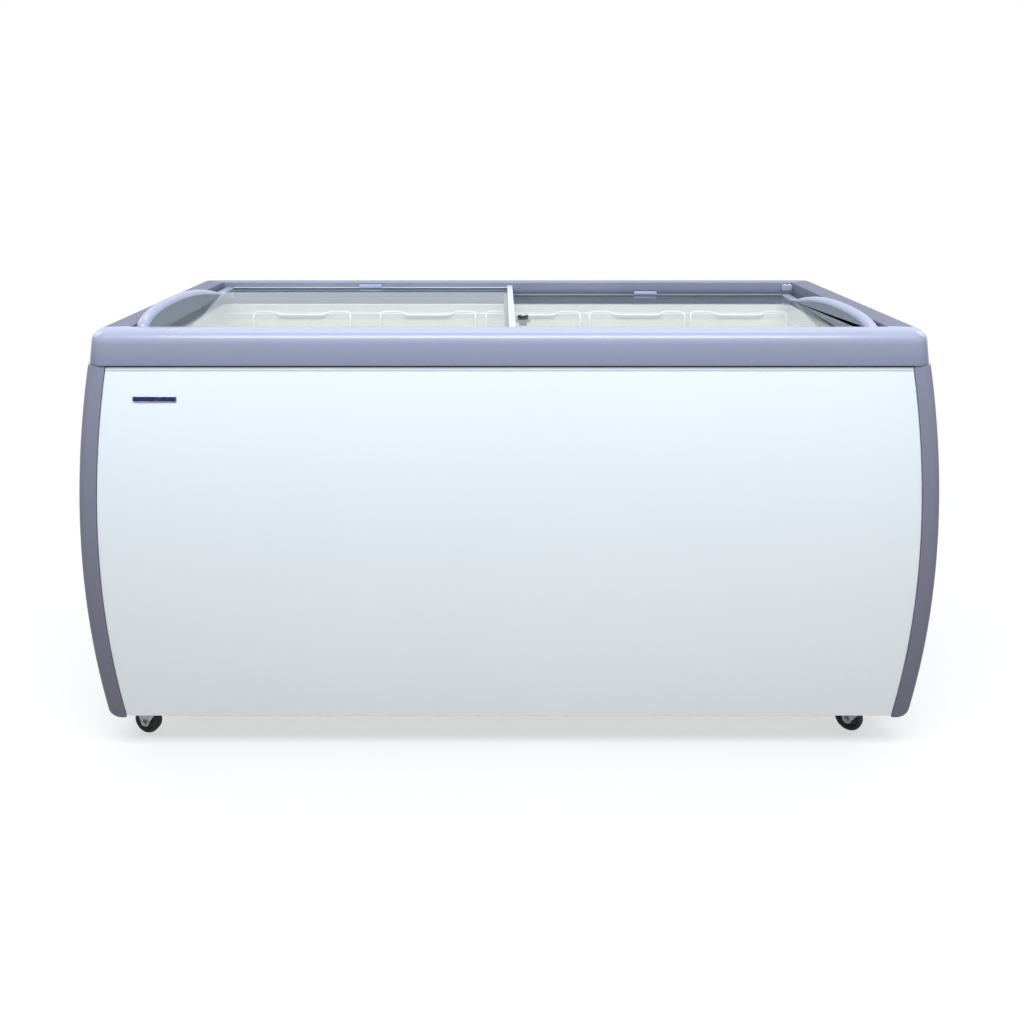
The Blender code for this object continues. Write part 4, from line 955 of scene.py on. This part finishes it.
def make_machine():
    refined("compressor", "black_enamel", 0.0012, 2)
    refined("fan_shroud", "galvanised", 0.0003, 1)
    refined("fan_motor", "black_enamel", 0.0010, 2)
    refined("fan_blades", "black_plastic", 0.0003, 1)
    refined("cord_gland", "black_plastic", 0.0006, 2)
    refined("drain_cap", "black_plastic", 0.0010, 2)
    low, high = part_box("compressor")
    centre, floor = (low + high) / 2, low.z
    grommets = []
    for dx in (-0.086, 0.086):
        for dy in (-0.054, 0.054):
            profile = ((0, 0.0125), (0.006, 0.0125), (0.0075, 0.010), (0.0068, 0.007), (0.009, 0.0032),
                       (0.009, 0.0031), (0, 0.0031))
            grommets.append(lathe(profile, (centre.x + dx, centre.y + dy, floor), steps=24))
    show("compressor_grommets", mesh_from(joined(grommets), "grommets"), "cabinet", "seal_rubber")
    box = block((centre.x - 0.022, high.y - 0.012, floor + 0.085),
                (centre.x + 0.022, high.y + 0.018, floor + 0.135), 0.004)
    show("terminal_cover", mesh_from(box, "terminal_cover"), "cabinet", "black_plastic")
    coil_low, coil_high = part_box("condenser_coil")
    fins = [block((x, coil_low.y + 0.001, coil_low.z),
                  (x + 0.0004, coil_high.y - 0.001, coil_high.z), 0.0001, 1)
            for x in spread(coil_low.x + 0.010, coil_high.x - 0.010, 44)]
    show("condenser_fins", mesh_from(joined(fins), "condenser_fins"), "cabinet", "galvanised")
    drier_low, drier_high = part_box("filter_drier")
    drier = (drier_low + drier_high) / 2
    top = centre.z + (high.z - low.z) * 0.28
    pipes = [
        (eased([(centre.x - 0.03, centre.y - 0.06, top - 0.02), (centre.x - 0.05, low.y - 0.02, top + 0.03),
                (centre.x - 0.06, coil_high.y + 0.02, coil_high.z + 0.004),
                (coil_low.x + 0.02, coil_high.y - 0.004, coil_high.z - 0.004)], 0.02, 6), 0.003, False),
        (eased([(drier.x, drier_high.y - 0.002, drier.z), (drier.x, drier_high.y + 0.03, drier.z),
                (drier.x, drier_high.y + 0.03, drier.z + 0.09)], 0.015, 6), 0.0022, False),
        (eased([(drier.x, drier_low.y + 0.002, drier.z), (drier.x, coil_high.y + 0.03, drier.z),
                (coil_low.x + 0.004, coil_high.y + 0.004, coil_high.z - 0.02)], 0.02, 6), 0.0022, False)]
    show("copper_pipes", wires("copper_pipes", pipes), "cabinet", "copper")


def make_grille():
    refined("vent_grille", "grey_plastic", 0.0006, 2, "post_plastic")
    low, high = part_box("vent_grille")
    slats = []
    for row in range(7):
        z = low.z + 0.0194 + row * 0.0185
        for y0, y1 in ((low.y + 0.0124, low.y + 0.1204), (high.y - 0.1204, high.y - 0.0124)):
            slat = block((-0.0075, y0, -0.0006), (0.0005, y1, 0.0006), 0.0003, 1)
            tilt = Matrix.Rotation(math.radians(-32), 4, "Y")
            slat.transform(Matrix.Translation((low.x - 0.0012, 0, z + 0.002)) @ tilt)
            slats.append(slat)
    show("grille_slats", mesh_from(joined(slats), "grille_slats"), "cabinet", "grey_plastic", "post_plastic")
    refined("thermostat_cup", "black_plastic", 0.0005, 2)
    refined("thermostat_knob", "black_plastic", 0.0006, 2)
    refined("power_lamp", "lamp_lens", 0.0003, 2)
    cup_low, cup_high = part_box("thermostat_cup")
    dial = (cup_low + cup_high) / 2
    radius = (cup_high.y - cup_low.y) / 2
    ticks = []
    for index in range(9):
        angle = math.radians(-135 + 270 * index / 8)
        reach = radius * (0.97 if index % 4 else 0.985)
        tick = block((-0.0002, -0.0005, radius * 0.86), (0.0004, 0.0005, reach), 0.0002, 1)
        tick.transform(Matrix.Translation((high.x, dial.y, dial.z)) @ Matrix.Rotation(angle, 4, "X"))
        ticks.append(tick)
    for tick in ticks:
        tick.transform(Matrix.Translation((0.0003, 0, 0)))
    show("dial_marks", mesh_from(joined(ticks), "dial_marks"), "cabinet", "white_plastic")


# ---- stage ----
def make_stage():
    bm = bmesh.new()
    bmesh.ops.create_grid(bm, x_segments=1, y_segments=1, size=14.0)
    floor = bpy.data.objects.new("floor", mesh_from(bm, "floor", recalculate=False))
    bpy.context.scene.collection.objects.link(floor)
    floor.data.materials.append(floor_finish())

    world = bpy.data.worlds.new("studio")
    bpy.context.scene.world = world
    world.use_nodes = True
    tree = world.node_tree
    tree.nodes.clear()
    direction = add(tree, "SeparateXYZ", {0: add(tree, "TexCoord").outputs["Generated"]})
    up, behind = direction.outputs["Z"], direction.outputs["Y"]
    room = blended(tree, ranged(tree, up, 0, 1, 0.0, 0.7), (0.22, 0.23, 0.25), (0.42, 0.46, 0.52))
    ground = blended(tree, ranged(tree, up, 0, 1, -0.04, 0.0), (0.36, 0.36, 0.37), (0.22, 0.23, 0.25))
    around = add(tree, "Mix", {"Factor": ranged(tree, up, 0, 1, -0.01, 0.01)}, data_type="RGBA")
    tree.links.new(ground, around.inputs[6])
    tree.links.new(room, around.inputs[7])
    backdrop = add(tree, "Mix", {"Factor": ranged(tree, behind, 0, 1, 0.35, 0.75)}, data_type="RGBA")
    tree.links.new(around.outputs[2], backdrop.inputs[6])
    backdrop.inputs[7].default_value = (0.90, 0.94, 1.0, 1)
    lit = add(tree, "Background", {"Color": backdrop.outputs[2], "Strength": 1.0})
    seen = add(tree, "Background", {"Color": (1, 1, 1, 1), "Strength": 1.0})
    camera_ray = add(tree, "LightPath").outputs["Is Camera Ray"]
    mix = add(tree, "MixShader", {0: camera_ray, 1: lit.outputs[0], 2: seen.outputs[0]})
    output = add(tree, "OutputWorld")
    tree.links.new(mix.outputs[0], output.inputs[0])

    softboxes = (("key", (0.0, -1.75, 3.2), (0, -0.3, 0.6), (3.6, 1.0), 122, (0.95, 0.98, 1.0)),
                 ("top", (0.0, 0.9, 3.4), (0, 0.1, 0.6), (3.2, 1.2), 30, (0.96, 0.98, 1.0)),
                 ("fill_left", (-3.0, 1.0, 2.4), (0, 0, 0.4), (1.6, 1.6), 22, (1.0, 1.0, 1.0)),
                 ("fill_right", (3.0, 1.0, 2.4), (0, 0, 0.4), (1.6, 1.6), 22, (1.0, 1.0, 1.0)))
    for name, place, target, (wide, tall), power, colour in softboxes:
        light = bpy.data.lights.new(name, "AREA")
        light.shape = "RECTANGLE"
        light.size, light.size_y = wide, tall
        light.energy = power
        light.color = colour
        holder = bpy.data.objects.new(name, light)
        holder.location = place
        holder.rotation_euler = (Vector(target) - Vector(place)).to_track_quat("-Z", "Y").to_euler()
        bpy.context.scene.collection.objects.link(holder)


def make_camera():
    camera = bpy.data.cameras.new("camera")
    camera.lens = 32.06
    camera.shift_x, camera.shift_y = 0.0109, -0.1973
    holder = bpy.data.objects.new("camera", camera)
    holder.location = (-0.015, RAIL_FRONT_Y - 1.539, 1.111)
    holder.rotation_euler = (math.radians(80), 0, 0)
    bpy.context.scene.collection.objects.link(holder)
    bpy.context.scene.camera = holder
    bpy.context.scene.view_settings.view_transform = "Standard"


make_camera()
plain_nodes()
make_top_frame()
make_track_stops()
make_posts()
make_panels()
make_fixings()
make_tank()
make_badge()
make_lids()
for basket in range(1, 6):
    make_basket(basket)
for wheel_corner in CORNERS:
    make_caster(wheel_corner)
make_machine()
make_grille()
make_stage()
